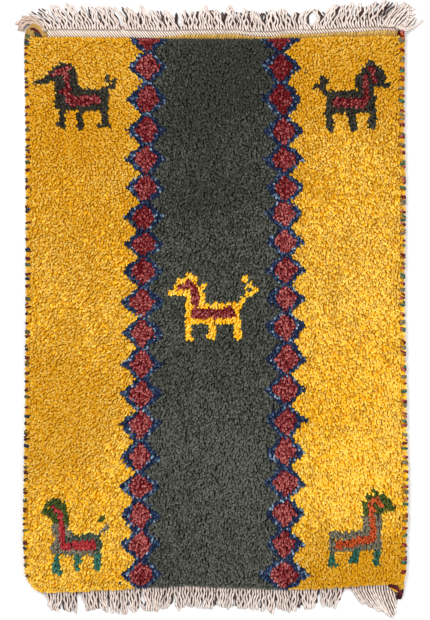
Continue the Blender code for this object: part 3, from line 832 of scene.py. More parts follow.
def make_yarn_group():
    """Spun wool yarn: its colour from root to tip, fibre streaks and ply, and the height of both."""
    group = bpy.data.node_groups.new("spun_yarn", "ShaderNodeTree")
    for name in ("Main colour", "Tip colour", "Root colour"):
        group.interface.new_socket(name, in_out="INPUT", socket_type="NodeSocketColor")
    for name in ("Turns", "Unevenness", "Root reach", "Tip start", "Underside shade"):
        group.interface.new_socket(name, in_out="INPUT", socket_type="NodeSocketFloat")
    group.interface.new_socket("Colour", in_out="OUTPUT", socket_type="NodeSocketColor")
    group.interface.new_socket("Roughness", in_out="OUTPUT", socket_type="NodeSocketFloat")
    group.interface.new_socket("Height", in_out="OUTPUT", socket_type="NodeSocketFloat")
    nodes = Nodes(group)
    given = nodes.add("NodeGroupInput").outputs
    yarn = nodes.add("ShaderNodeUVMap", {"uv_map": "yarn"}).outputs["UV"]
    parts = nodes.add("ShaderNodeSeparateXYZ", None, Vector=yarn).outputs
    tone = nodes.add("ShaderNodeAttribute", {"attribute_name": "tone"}).outputs["Fac"]
    spot = nodes.add("ShaderNodeTexCoord").outputs["Object"]

    fibre = nodes.add("ShaderNodeTexNoise", None, Vector=spot, Scale=2600.0, Detail=3.0).outputs["Fac"]
    twist = nodes.math("MULTIPLY_ADD", parts[1], given["Turns"])
    twist.node.inputs[2].default_value = 0.0
    turn = nodes.math("ADD", twist, nodes.math("MULTIPLY", parts[0], 2.0))
    ply = nodes.math("SINE", nodes.math("MULTIPLY", turn, 2 * math.pi))
    height = nodes.math("ADD", nodes.math("MULTIPLY", ply, 0.35), fibre)

    # Towards the tip the yarn turns to its tip colour: sun-fading, and painted highlights on the tips
    sunned_and_highlit = nodes.ramp(parts[1], given["Tip start"], 1.0)
    fibre_share = nodes.ramp(fibre, 0.35, 0.70)
    picked = nodes.math("POWER", nodes.ramp(tone, 0.10, 0.95, 0.10, 1.0), 1.5)
    bright = nodes.math("MULTIPLY", sunned_and_highlit, picked)
    bright = nodes.math("MULTIPLY", bright, nodes.ramp(fibre_share, 0.0, 1.0, 0.7, 1.0))
    colour = nodes.mix(bright, given["Main colour"], given["Tip colour"])
    # Near the root the yarn turns to its root colour: painted shade deep in the pile, with some deeper dye
    shaded = nodes.ramp(nodes.math("DIVIDE", parts[1], given["Root reach"]), 0.25, 1.0, 1.0, 0.0)
    colour = nodes.mix(shaded, colour, given["Root colour"])
    dim = nodes.math("MULTIPLY", nodes.ramp(tone, 0.0, 0.75, 1.0, 0.0), given["Unevenness"])
    colour = nodes.mix(dim, colour, given["Root colour"])
    streak = nodes.math("MULTIPLY", nodes.ramp(fibre, 0.3, 0.6, 1.0, 0.0), 0.22)
    colour = nodes.mix(streak, colour, given["Root colour"])
    # The yarn's down-facing side is mixed towards its root colour: painted shade on its underside
    upward = nodes.math("SINE", nodes.math("MULTIPLY", parts[0], 2 * math.pi))
    underside_shade = nodes.math("MULTIPLY", nodes.ramp(upward, 0.95, 0.15), given["Underside shade"])
    colour = nodes.mix(underside_shade, colour, given["Root colour"])
    rough = nodes.ramp(fibre, 0.3, 0.7, 0.95, 0.78)
    nodes.add("NodeGroupOutput", None, Colour=colour, Roughness=rough, Height=height)
    return group


def wool_material(
    name, wool, group, turns=2.5, unevenness=0.45, root_reach=0.72, tip_start=0.55, underside_shade=0.0, sheen=0.03
):
    """A finish of spun yarn in one dye."""
    material = bpy.data.materials.new(name)
    material.use_nodes = True
    nodes = Nodes(material.node_tree)
    shader = material.node_tree.nodes["Principled BSDF"]
    yarn = nodes.add("ShaderNodeGroup", {"node_tree": group})
    yarn.inputs["Main colour"].default_value = (*linear(wool["main"]), 1.0)
    yarn.inputs["Tip colour"].default_value = (*linear(wool["tip"]), 1.0)
    yarn.inputs["Root colour"].default_value = (*linear(wool["root"]), 1.0)
    yarn.inputs["Turns"].default_value = turns
    yarn.inputs["Unevenness"].default_value = unevenness
    yarn.inputs["Root reach"].default_value = root_reach
    yarn.inputs["Tip start"].default_value = tip_start
    yarn.inputs["Underside shade"].default_value = underside_shade
    bump = nodes.add("ShaderNodeBump", None, Strength=0.6, Distance=0.0003, Height=yarn.outputs["Height"])
    links = material.node_tree.links
    links.new(yarn.outputs["Colour"], shader.inputs["Base Color"])
    links.new(yarn.outputs["Roughness"], shader.inputs["Roughness"])
    links.new(bump.outputs["Normal"], shader.inputs["Normal"])
    shader.inputs["Sheen Weight"].default_value = sheen
    shader.inputs["Sheen Roughness"].default_value = 0.5
    shader.inputs["Specular IOR Level"].default_value = 0.1
    return material


def wave(x, y, length, seed):
    """Smooth wandering values of about -1 to 1 over the rug."""
    return np.array([noise.noise((a / length, b / length, seed)) for a, b in zip(x, y)]) * 1.6


def top_of_pile(across):
    """How far along the rug the pile's outermost tips stand at its top end."""
    return PILE_LENGTH - look_up(TIPS_TOP, "across", across, "inset")


def field_places(chooser):
    """Where the tips stand, across and along: near an even grid of knots, inside the rim's row."""
    i, j = np.meshgrid(np.arange(TUFTS_ACROSS), np.arange(TUFTS_ALONG), indexing="ij")
    i, j = i.ravel(), j.ravel() + 0.5 * (i.ravel() % 2) - 0.25
    i = np.clip(i + GRID_SWAY * wave(i, j, GRID_SWAY_LENGTH, 2.2), 0, TUFTS_ACROSS - 1)
    i = i + 0.5 + chooser.uniform(-PLACE_JITTER, PLACE_JITTER, i.size)
    j = j + 0.5 + chooser.uniform(-PLACE_JITTER, PLACE_JITTER, j.size)
    left, right = TIPS_LEFT + RIM_ROW, RUG_WIDTH - TIPS_RIGHT - RIM_ROW
    across = left + (right - left) * i / TUFTS_ACROSS
    bottom, top = TIPS_BOTTOM + RIM_ROW, top_of_pile(across) - RIM_ROW
    return across, bottom + (top - bottom) * j / TUFTS_ALONG


def rim_places(chooser):
    """Where the tips of the outermost row stand, all round the pile."""
    left, right = TIPS_LEFT + RIM_INSET, RUG_WIDTH - TIPS_RIGHT - RIM_INSET
    bottom = TIPS_BOTTOM + RIM_INSET
    left_side = np.arange(bottom, top_of_pile(left) - RIM_INSET, RIM_PITCH)
    right_side = np.arange(bottom, top_of_pile(right) - RIM_INSET, RIM_PITCH)
    ends = np.arange(left, right, RIM_PITCH)
    across = np.concatenate([np.full(left_side.size, left), np.full(right_side.size, right), ends, ends])
    top_ends = top_of_pile(ends) - RIM_INSET
    along = np.concatenate([left_side, right_side, np.full(ends.size, bottom), top_ends])
    return across + chooser.normal(0, RIM_JITTER, across.size), along + chooser.normal(0, RIM_JITTER, along.size)


def over_the_rug(across, along, key):
    """One column of the table of leans, blended between its places."""
    amount, total = 0.0, 0.0
    for lean in LEANS:
        away = np.hypot(across - lean["across"], along - lean["along"])
        weight = 1 / (away**2 + 0.02**2) ** 1.5
        amount = amount + weight * lean[key]
        total = total + weight
    return amount / total


def tuft_leans(across, along, chooser):
    """How far the top of each tuft leans to the right and up the rug."""
    right = over_the_rug(across, along, "right") + chooser.normal(0, LEAN_JITTER, across.size)
    up = over_the_rug(across, along, "up") + chooser.normal(0, LEAN_JITTER, across.size)
    return right, up


def tip_heights(across, along):
    """How high each tip stands: on the pile's soft waves, and lower over its shoulders."""
    x, y = plan_point(across, along)
    swell = np.array([noise.noise((a / WAVE_LENGTH, b / WAVE_LENGTH, 0.0)) for a, b in zip(x, y)])
    inside = np.minimum.reduce(
        [
            across - LIP_LEFT,
            RUG_WIDTH - LIP_RIGHT - across,
            along - LIP_END,
            PILE_LENGTH - LIP_END - along,
        ]
    )
    return look_up(SHOULDER, "inside", inside, "height") + WAVE_HEIGHT * swell


def distance_to_line(x, y, points):
    """How far each place is from a chart line through these points."""
    nearest = np.full(x.shape, np.inf)
    for (ax, ay), (bx, by) in zip(points, points[1:]):
        dx, dy = bx - ax, by - ay
        share = np.clip(((x - ax) * dx + (y - ay) * dy) / (dx * dx + dy * dy), 0.0, 1.0)
        nearest = np.minimum(nearest, np.hypot(x - ax - dx * share, y - ay - dy * share))
    return nearest


def diamond_offsets(across, along, side):
    """Each place's distance from the nearest diamond's middle in one column, in chart steps."""
    column = look_up(DIAMOND_COLUMNS, "along", along, side)
    drift = look_up(DIAMOND_DRIFT, "along", along, side)
    number = np.round((along - drift - DIAMOND_LAST) / DIAMOND_PITCH)
    number = np.clip(number, 0, DIAMOND_COUNT - 1)
    middle = DIAMOND_LAST + number * DIAMOND_PITCH + drift
    width = np.where((number == 0) & (side == "right"), WIDEST_DIAMOND, 1.0)
    return np.abs(across - column) / (CHART_STEP * width), np.abs(along - middle) / CHART_STEP


def draw_animal(wool, x, y, lines):
    """Marks the tufts of one animal: its outline, all ground near its filling, then its filling."""
    near = np.flatnonzero((np.abs(x) < 60) & (np.abs(y) < 70))
    x, y = x[near], y[near]
    outline = [line for line in lines if line.wool not in FILLINGS]
    filling = [line for line in lines if line.wool in FILLINGS]
    beyond = np.stack([distance_to_line(x, y, line.points) - line.half_width for line in outline])
    wools = np.array([line.wool for line in outline], dtype=object)[beyond.argmin(axis=0)]
    inner = np.stack([distance_to_line(x, y, line.points) - line.half_width for line in filling])
    drawn = (beyond.min(axis=0) < 0.3) | (inner.min(axis=0) < OUTLINE_REACH)
    wools = np.where(inner.min(axis=0) < 0.0, filling[0].wool, wools)
    wool[near[drawn]] = wools[drawn]


def chart(across, along, chooser):
    """The wool of each tuft: gold fields, charcoal stripe, diamonds and animals."""
    x, y = plan_point(across, along)
    across = x + RUG_WIDTH / 2 + chooser.normal(0, CHART_RAGGEDNESS, x.size)
    along = y + PILE_LENGTH / 2 + chooser.normal(0, CHART_RAGGEDNESS, y.size)
    wool = np.full(across.shape, "gold", dtype=object)
    # More pale gold where the nap's painted sheen is lighter: a lighter copy of the gold
    pale = PALE_GOLD_FOR_LIGHT * over_the_rug(across, along, "light")
    pale = pale + PALE_GOLD_CLOUDS * (1 + wave(x, y, 0.04, 6.6))
    wool[chooser.random(across.size) < pale] = "pale_gold"
    left = look_up(DIAMOND_COLUMNS, "along", along, "left")
    right = look_up(DIAMOND_COLUMNS, "along", along, "right")
    wool[(across > left) & (across < right)] = "charcoal"
    dye = chooser.random(across.size)
    blues = np.where(dye < PALE_BLUE_SHARE, "pale_blue", "navy").astype(object)
    blues[dye > 1 - STEEL_BLUE_SHARE] = "steel_blue"
    wobble = DIAMOND_WOBBLE * wave(x, y, DIAMOND_WOBBLE_LENGTH, 5.5)
    for side in ("left", "right"):
        u, v = diamond_offsets(across, along, side)
        u = u + wobble
        blue = u < 5.4 + 15.4 * (1 - v / 15.0)
        core = (u < np.minimum(11.4, 1.6 + 11.5 * (1 - v / 13.0))) & (v < 13.0)
        wool[blue] = blues[blue]
        wool[core] = "crimson"
    for animal in ANIMALS:
        x = (across - animal["across"]) / CHART_STEP
        y = (along - animal["along"]) / CHART_STEP
        draw_animal(wool, x, y, animal["lines"])
    for stray in STRAYS:
        near = np.hypot(across - stray["across"], along - stray["along"]) < stray["radius"]
        wool[near] = stray["wool"]
    return wool


def tuft_tones(across, along, chooser):
    """How bright each tuft looks: its own wool, the slow change of the dye, and the nap's painted sheen and shade.
    """
    own = chooser.uniform(0.05, 0.95, across.size)
    bands = wave(across * 0.35, along, 0.055, 3.7)
    clouds = wave(across, along, 0.09, 8.1)
    return np.clip(own + 0.14 * bands + 0.12 * clouds + over_the_rug(across, along, "light"), 0.0, 1.3)


def tick_places(side):
    """Where the coloured yarns show along one side, and their wools."""
    form = SIDES[side]
    chooser = np.random.default_rng(form["seed"])
    along = np.arange(form["start"], form["finish"], form["pitch"])
    along = along + chooser.normal(0, TICK_STRAY, along.size)
    wools = [form["wools"][k % len(form["wools"])] for k in range(along.size)]
    for mark_along, wool in form["marks"]:
        along = np.append(along, mark_along)
        wools.append(wool)
    return along, wools


def part_at_ticks(across, along, height):
    """Near the sides the tufts part and sink where a coloured yarn shows."""
    for side in SIDES:
        ticks = tick_places(side)[0]
        from_edge = across if side == "left" else RUG_WIDTH - across
        gaps = along[:, None] - ticks[None, :]
        nearest = np.abs(gaps).argmin(axis=1)
        gap = gaps[np.arange(along.size), nearest]
        close = (from_edge < TICK_REACH) & (np.abs(gap) < TICK_PARTING)
        share = np.where(close, 1 - np.abs(gap) / TICK_PARTING, 0.0)
        along = along + np.sign(gap) * share * TICK_PARTING * 0.5
        height = height - share * TICK_SINK
    return along, height


def tufts_by_wool(title, wool, along, points, shape, tones, materials):
    """Joined meshes of alike tufts, each of one wool and not too big."""
    faces, places = shape
    for name in sorted(set(wool)):
        chosen = np.flatnonzero(wool == name)
        chosen = chosen[np.argsort(along[chosen], kind="stable")]
        groups = np.array_split(chosen, math.ceil(len(chosen) / MOST_TUFTS_IN_A_PIECE))
        for number, group in enumerate(groups, 1):
            full = f"{title}_{name}_{number}" if len(groups) > 1 else f"{title}_{name}"
            piece = many_mesh(full, points[group], faces, places, tones[group], [materials[name]])
            hand_over(piece, "gold_wool", "cloth_with_pile")


def any_turn(count, chooser):
    """A level direction for each tuft, so that their corners don't line up."""
    turned = chooser.uniform(0, 2 * math.pi, count)
    return np.stack([np.cos(turned), np.sin(turned), np.zeros(count)], axis=-1)[:, None, :]


def make_pile(materials):
    """The tips of all the pile yarn, over its crowded lower part."""
    chooser = np.random.default_rng(7)
    across, along = field_places(chooser)
    lean_right, lean_up = tuft_leans(across, along, chooser)
    seen_across = across - TUFT_SEEN_MIDDLE * lean_right
    seen_along = along - TUFT_SEEN_MIDDLE * lean_up
    wool = chart(seen_across, seen_along, chooser)
    count = across.size
    height = tip_heights(across, along) + chooser.normal(0, HEIGHT_JITTER, count)
    along, height = part_at_ticks(across, along, height)
    tip = place(across, along, height)
    base = place(
        np.clip(across - TUFT_LEAN_SHARE * lean_right, TIPS_LEFT, RUG_WIDTH - TIPS_RIGHT),
        np.clip(along - TUFT_LEAN_SHARE * lean_up, TIPS_BOTTOM, top_of_pile(across)),
        np.maximum(height - TUFT_DEPTH, ROPE_HEIGHT + BASE_INSET),
    )
    paths = np.stack([base, tip], axis=1)
    size = TUFT_RADIUS * (1 + chooser.uniform(-SIZE_JITTER, SIZE_JITTER, count))
    radii = size[:, None] * np.array(TUFT_RINGS)
    points = tube_rings(paths, radii, TUFT_SIDES, any_turn(count, chooser))
    tones = tuft_tones(across, along, chooser)
    shape = tube_faces(len(TUFT_RINGS), TUFT_SIDES, TUFT_LEVELS)
    tufts_by_wool("pile", wool, along, points, shape, tones, materials)


def make_rim(materials):
    """The outermost row of tufts, from the foundation's edge up and out over the selvedge."""
    chooser = np.random.default_rng(17)
    across, along = rim_places(chooser)
    count = across.size
    wool = chart(across, along, chooser)
    height = tip_heights(across, along) + chooser.normal(0, HEIGHT_JITTER, count)
    along, height = part_at_ticks(across, along, height)
    side, end = FOUNDATION_SIDE + BASE_INSET, FOUNDATION_END + BASE_INSET
    base_across = np.clip(across, side, RUG_WIDTH - side)
    base_along = np.clip(along, end, PILE_LENGTH - end)
    paths = []
    for step in RIM_PATH:
        step_across = base_across + (across - base_across) * step["out"]
        step_along = base_along + (along - base_along) * step["out"]
        step_height = FOUNDATION_HEIGHT + (height - FOUNDATION_HEIGHT) * step["up"]
        paths.append(place(step_across, step_along, step_height))
    paths = np.stack(paths, axis=1)
    size = RIM_RADIUS * (1 + chooser.uniform(-SIZE_JITTER, SIZE_JITTER, count))
    radii = np.tile(size[:, None], (1, len(RIM_PATH)))
    points = tube_rings(paths, radii, RIM_SIDES, np.array([0.3, 0.2, 1.0]))
    tones = tuft_tones(across, along, chooser)
    shape = tube_faces(len(RIM_PATH), RIM_SIDES, RIM_LEVELS)
    tufts_by_wool("rim", wool, along, points, shape, tones, materials)


def make_pile_depth(materials):
    """The crowded lower part of the pile as one lumpy body, in each knot's own wool; with no yarn map it takes that
    wool's root colour, painted shade between the tufts.
    """
    chooser = np.random.default_rng(19)
    across = np.linspace(LIP_LEFT + DEPTH_INSET, RUG_WIDTH - LIP_RIGHT - DEPTH_INSET, DEPTH_CELLS_ACROSS + 1)
    along = np.linspace(LIP_END + DEPTH_INSET, PILE_LENGTH - LIP_END - DEPTH_INSET, DEPTH_CELLS_ALONG + 1)
    u, v = np.meshgrid(across, along, indexing="ij")
    v = v * top_of_pile(u) / PILE_LENGTH
    height = tip_heights(u.ravel(), v.ravel()) - DEPTH_BELOW_TIPS
    height = height + chooser.normal(0, DEPTH_ROUGHNESS, height.size)
    wool = chart((u[:-1, :-1] + u[1:, 1:]).ravel() / 2, (v[:-1, :-1] + v[1:, 1:]).ravel() / 2, chooser)
    names = sorted(set(wool))
    kinds = [names.index(name) for name in wool]
    low = place(u.ravel(), v.ravel(), FOUNDATION_HEIGHT + 0.0002)
    high = place(u.ravel(), v.ravel(), height)
    piece = slab("pile_depth", high, low, DEPTH_CELLS_ACROSS, DEPTH_CELLS_ALONG, kinds)
    for name in names:
        piece.data.materials.append(materials[name])
    hand_over(piece, "gold_wool", "cloth_with_pile")


def slab(name, grid, plain, cells_across, cells_along, kinds):
    """A closed slab: one face in cells with their kinds of finish, the other face in one piece."""
    row = cells_along + 1
    points = np.concatenate([grid, plain])
    faces, all_kinds = [], list(kinds)
    for i in range(cells_across):
        for j in range(cells_along):
            corner = i * row + j
            faces.append((corner, corner + row, corner + row + 1, corner + 1))
    edge = [i * row for i in range(cells_across)] + [cells_across * row + j for j in range(cells_along)]
    edge += [i * row + cells_along for i in range(cells_across, 0, -1)] + list(range(cells_along, 0, -1))
    other = len(grid)
    for corner, after in zip(edge, edge[1:] + edge[:1]):
        faces.append((after, corner, corner + other, after + other))
        all_kinds.append(kinds[0])
    faces.append(tuple(corner + other for corner in reversed(edge)))
    all_kinds.append(kinds[0])
    mesh = bpy.data.meshes.new(name)
    mesh.from_pydata([tuple(point) for point in points], [], faces)
    mesh.polygons.foreach_set("material_index", np.array(all_kinds, dtype=np.int32))
    shape = bmesh.new()
    shape.from_mesh(mesh)
    loose = [corner for corner in shape.verts if not corner.link_faces]
    bmesh.ops.delete(shape, geom=loose, context="VERTS")
    bmesh.ops.recalc_face_normals(shape, faces=shape.faces)
    shape.to_mesh(mesh)
    shape.free()
    piece = bpy.data.objects.new(name, mesh)
    bpy.context.scene.collection.objects.link(piece)
    return piece


def make_foundation(materials):
    """The woven ground under the pile, whose underside shows the backs of the knots."""
    across = np.linspace(FOUNDATION_SIDE, RUG_WIDTH - FOUNDATION_SIDE, KNOTS_ACROSS + 1)
    along = np.linspace(FOUNDATION_END, PILE_LENGTH - FOUNDATION_END, KNOTS_ALONG + 1)
    u, v = np.meshgrid(across, along, indexing="ij")
    low = place(u.ravel(), v.ravel(), 0.0)
    high = place(u.ravel(), v.ravel(), FOUNDATION_HEIGHT)
    chooser = np.random.default_rng(5)
    wool = chart((u[:-1, :-1] + u[1:, 1:]).ravel() / 2, (v[:-1, :-1] + v[1:, 1:]).ravel() / 2, chooser)
    names = sorted(set(wool))
    kinds = [names.index(name) for name in wool]
    piece = slab("woven_foundation", low, high, KNOTS_ACROSS, KNOTS_ALONG, kinds)
    for name in names:
        piece.data.materials.append(materials[name])
    hand_over(piece, "gold_wool", "cloth_with_pile")


def end_place(across, out, height, top_end):
    """A place beyond one of the rug's ends."""
    along = PILE_LENGTH + out if top_end else -out
    return place(across, along, height)


def strand_roots(strip):
    """Where the strands stand side by side in their strip."""
    length = strip["finish"] - strip["start"]
    count = int(length / STRAND_PITCH)
    return strip["start"] + length * (np.arange(count) + 0.5) / count


def strand_lines(strip, table, top_end, chooser, length_share=1.0):
    """The strands' middle lines: from the band over the strip, down and out over the floor."""
    roots = strand_roots(strip)
    count = len(roots)
    end = "top" if top_end else "bottom"
    middle, stray, longer = roots.copy(), np.zeros(count), np.zeros(count)
    first = 0
    while first < count:
        last = min(first + chooser.choice(BUNCH_SIZES), count)
        middle[first:last] = roots[first:last].mean()
        stray[first:last] = chooser.normal(0, BUNCH_STRAY[end])
        longer[first:last] = chooser.uniform(-REACH_VARIATION, REACH_VARIATION)
        first = last
    calm = np.where((roots > CLUMP_START) & (not top_end), CLUMP_STRAY, 1.0)
    stray, longer = stray * calm, longer * calm
    usual = look_up(table, "across", roots, "reach") + LONGER_AT_TOP * top_end
    reach = (usual + longer + chooser.uniform(-REACH_VARIATION, REACH_VARIATION / 2, count)) * length_share
    lean = look_up(table, "across", roots, "lean") + (middle - roots) * BUNCH_PULL[end] * calm + stray
    begin = look_up(BANDS, "across", roots, "finish") - 0.0008 if top_end else np.full(count, -0.0012)
    share = np.linspace(0.0, 1.0, STRAND_STEPS)
    out = begin[:, None] + (strip["outer"] + reach - begin)[:, None] * share
    past = np.clip((out - strip["outer"]) / usual[:, None], 0.0, 2.0)
    before = np.clip(strip["outer"] - out, 0.0, 1.0)
    across = roots[:, None] + lean[:, None] * past**STRAND_BEND + STRAND_SET * before * top_end
    for gap in GAPS[end]:
        from_gap = roots - gap["across"]
        push = np.sign(from_gap) * gap["push"] * np.exp(-((from_gap / gap["width"]) ** 2))
        across = across + push[:, None] * (np.sin(math.pi * share**1.2) if gap["closed"] else share**0.6)
    phase = chooser.uniform(0, 2 * math.pi, (count, 1))
    turn = 2 * math.pi * out / (MEANDER_LENGTH * chooser.uniform(0.7, 1.4, (count, 1))) + phase
    across = across + MEANDER[end] * calm[:, None] * np.sin(turn) * np.clip(share * 3, 0.0, 1.0)
    drop = np.clip((out - strip["outer"] + 0.0006) / 0.0040, 0.0, 1.0)
    height = (STRIP_HEIGHT - 0.0002) * (1 - drop * drop * (3 - 2 * drop))
    rise = chooser.uniform(0.0, 0.0016, (count, 1)) * np.sin(math.pi * share)
    return across, out, height + rise


def loose_strands(bundle, chooser):
    """A bundle of strands that flops to one side, spread between its two outer lines."""
    count = bundle["count"]
    first, last = np.array(bundle["first"]), np.array(bundle["last"])
    blend = (np.arange(count) / max(count - 1, 1))[:, None, None]
    lines = first[None] * (1 - blend) + last[None] * blend
    lines = lines + chooser.normal(0, LOOSE_STRAY, lines.shape) * np.linspace(0.2, 1.0, len(first))[None, :, None]
    spots = np.linspace(0, len(first) - 1, STRAND_STEPS)
    across = np.array([np.interp(spots, np.arange(len(first)), line[:, 0]) for line in lines])
    out = np.array([np.interp(spots, np.arange(len(first)), line[:, 1]) for line in lines])
    kernel = np.array([0.25, 0.5, 0.25])
    for _ in range(2):
        across[:, 1:-1] = np.array([np.convolve(row, kernel, "valid") for row in across])
        out[:, 1:-1] = np.array([np.convolve(row, kernel, "valid") for row in out])
    share = np.linspace(0.0, 1.0, STRAND_STEPS)
    start = np.full(count, bundle["height"])[:, None]
    height = start * (1 - share) ** 1.5 + chooser.uniform(0.0, 0.0030, (count, 1)) * np.sin(math.pi * share)
    return across, out, height


def worn_away(across, top_end):
    """Which strands are missing, by their roots."""
    gone = np.zeros(len(across), dtype=bool)
    for gap in GAPS["top" if top_end else "bottom"]:
        gone |= np.abs(across[:, 0] - gap["across"]) < gap["missing"] / 2
    return gone


def make_fringe(name, node, strip, table, top_end, seed, materials):
    """Two-ply warp ends lying on the floor, over a lower layer of dark strands that paint the shadow between them.
    """
    chooser = np.random.default_rng(seed)
    across, out, height = strand_lines(strip, table, top_end, chooser)
    kept = ~worn_away(across, top_end)
    across, out, height = across[kept], out[kept], height[kept]
    if top_end:
        loose = [loose_strands(bundle, chooser) for bundle in LOOSE_BUNDLES]
        tan = [0] * len(across)
        for bundle in LOOSE_BUNDLES:
            tan += [2 * (bundle["wool"] == "tan_warp")] * bundle["count"]
        across = np.concatenate([across] + [strands[0] for strands in loose])
        out = np.concatenate([out] + [strands[1] for strands in loose])
        height = np.concatenate([height] + [strands[2] for strands in loose])
    count = len(across)
    share = np.linspace(0.0, 1.0, STRAND_STEPS)
    thin = 1 - (1 - STRAND_TIP_SHARE) * share
    middle = end_place(across, out, height + (PLY_RADIUS + PLY_OFFSET) * thin, top_end)
    run = np.concatenate(
        [np.zeros((count, 1)), np.cumsum(np.linalg.norm(np.diff(middle, axis=1), axis=-1), axis=1)], axis=1
    )
    ahead = unit(np.gradient(middle, axis=1))
    side = unit(np.cross(ahead, [0.0, 0.0, 1.0]))
    other = np.cross(side, ahead)
    start = chooser.uniform(0, 2 * math.pi, (count, 1))
    fray = 1 + 1.0 * np.clip((share - 0.8) / 0.2, 0.0, 1.0)
    plies = []
    for half in (0.0, math.pi):
        angle = (start + half + 2 * math.pi * run / PLY_TURN_LENGTH)[..., None]
        away = (PLY_OFFSET * thin * fray)[None, :, None]
        plies.append(middle + away * (np.cos(angle) * side + np.sin(angle) * other))
    plies = np.concatenate(plies)
    radii = np.tile(PLY_RADIUS * thin, (len(plies), 1))
    faces, places = tube_faces(STRAND_STEPS, 5)
    points = tube_rings(plies, radii, 5, np.array([0.0, 0.0, 1.0]))
    points[..., 2] = np.maximum(points[..., 2], 0.0)
    tones = np.tile(chooser.uniform(0.2, 1.0, count), 2)
    soiled = look_up(STAINED_ENDS, "across", across[:, 0], "share") * (not top_end)
    own = (chooser.random(count) < soiled).astype(int)
    kinds = np.tile(np.array(tan) if top_end else own, 2)
    # The bottom fringe takes the copy of the warp with darker painted shade
    usual = materials["warp" if top_end else "shaded_bottom_warp"]
    finishes = [usual, materials["stained_warp"], materials["tan_warp"]]
    hand_over(many_mesh(name, points, faces, places, tones, finishes, kinds), "cream_warp", node)

    # Dark strands half a pitch aside, under the others: painted shadow in the gaps
    reach = LOWER_REACH["top" if top_end else "bottom"]
    across, out, height = strand_lines(strip, table, top_end, chooser, reach)
    kept = ~worn_away(across, top_end)
    across, out, height = across[kept], out[kept], height[kept]
    across = across + STRAND_PITCH / 2
    lower = end_place(across, out, height * 0.6 + LOWER_RADIUS * 0.8, top_end)[:, ::2]
    radii = np.tile(LOWER_RADIUS * np.linspace(1.0, LOWER_TIP_SHARE, lower.shape[1]), (len(lower), 1))
    faces, places = tube_faces(lower.shape[1], 4)
    points = tube_rings(lower, radii, 4, np.array([0.0, 0.0, 1.0]))
    points[..., 2] = np.maximum(points[..., 2], 0.0)
    tones = chooser.uniform(0.2, 1.0, len(lower))
    piece = many_mesh(name + "_painted_shadow", points, faces, places, tones, [materials["painted_shadow_warp"]])
    hand_over(piece, "cream_warp", node)


def make_strip(name, node, strip, top_end, materials):
    """The strip of bare weave that holds the fringe, ribbed by its warps."""
    stations = np.linspace(strip["start"], strip["finish"], 221)
    rib = STRIP_HEIGHT - 0.0004 - 0.0005 * (np.arange(221) % 2)
    rows = [(STRIP_INNER, 0.0), (STRIP_INNER, rib), (strip["outer"], rib), (strip["outer"], 0.0)]
    rings = [end_place(stations, out, height, top_end) for out, height in rows]
    points = np.stack(rings, axis=1).reshape(-1, 3)
    faces = []
    last = len(stations) - 1
    for k in range(last):
        for r in range(4):
            a, b = k * 4 + r, k * 4 + (r + 1) % 4
            faces.append((a, b, b + 4, a + 4))
    faces += [(0, 1, 2, 3), (last * 4 + 3, last * 4 + 2, last * 4 + 1, last * 4)]
    mesh = bpy.data.meshes.new(name)
    mesh.from_pydata([tuple(p) for p in points], [], faces)
    shape = bmesh.new()
    shape.from_mesh(mesh)
    bmesh.ops.recalc_face_normals(shape, faces=shape.faces)
    shape.to_mesh(mesh)
    shape.free()
    # Without a yarn map the strip takes the darkened cream throughout: painted shade between the strands
    mesh.materials.append(materials["shaded_ground_warp"])
    ground = bpy.data.objects.new(name, mesh)
    bpy.context.scene.collection.objects.link(ground)
    hand_over(ground, "cream_warp", node)


def make_bands(materials):
    """The end finish at the top: slanting twined yarns, and gold flat weave between them and the pile."""
    chooser = np.random.default_rng(31)
    share = np.linspace(0.0, 1.0, 6)
    roots = strand_roots(TOP_STRIP)
    more = roots[0] - STRAND_PITCH * np.arange(EXTRA_WARPS, 0, -1)
    roots = np.concatenate([more, roots])
    begin = look_up(BANDS, "across", roots, "twining")
    finish = look_up(BANDS, "across", roots, "finish")
    out = begin[:, None] + (finish - begin + 0.0006)[:, None] * share
    across = roots[:, None] + STRAND_SET * (TOP_STRIP["outer"] - out)
    across = across + TWINING_SLANT * (finish[:, None] - out)
    across = np.clip(across, TOP_STRIP["start"], TOP_STRIP["finish"] + 0.001)
    height = STRIP_HEIGHT + 0.0002 + 0.0005 * np.sin(math.pi * share) + chooser.normal(0, 0.0001, (roots.size, 1))
    paths = end_place(across, out, height, True)
    radii = np.tile(TWINING_RADIUS * np.array([0.75, 1.0, 0.92, 1.05, 0.95, 0.8]), (roots.size, 1))
    faces, places = tube_faces(6, 5)
    points = tube_rings(paths, radii, 5, np.array([0.0, 0.0, 1.0]))
    tones = chooser.uniform(0.2, 1.0, roots.size)
    piece = many_mesh("top_twining", points, faces, places, tones, [materials["twining"]])
    hand_over(piece, "cream_warp", "fringe_top")

    roots = np.arange(TOP_STRIP["start"] + 0.002, TOP_STRIP["finish"], FLAT_WEAVE_PITCH)
    begin = look_up(BANDS, "across", roots, "twining")
    roots, begin = roots[begin > 0.001], begin[begin > 0.001]
    share = np.linspace(0.0, 1.0, 4)
    inner = top_of_pile(roots) - PILE_LENGTH - 0.0018
    out = inner[:, None] + (begin - inner - 0.0002)[:, None] * share
    across = roots[:, None] + 0.25 * out + chooser.normal(0, 0.0002, (roots.size, 1))
    height = STRIP_HEIGHT + 0.0004 + 0.0004 * np.sin(math.pi * share) + chooser.normal(0, 0.0002, (roots.size, 1))
    paths = end_place(across, out, height, True)
    radii = np.full(paths.shape[:2], FLAT_WEAVE_RADIUS)
    faces, places = tube_faces(4, 5)
    points = tube_rings(paths, radii, 5, np.array([0.0, 0.0, 1.0]))
    tones = chooser.uniform(0.0, 1.0, roots.size)
    piece = many_mesh("top_flat_weave", points, faces, places, tones, [materials["dull_gold"]])
    hand_over(piece, "cream_warp", "fringe_top")


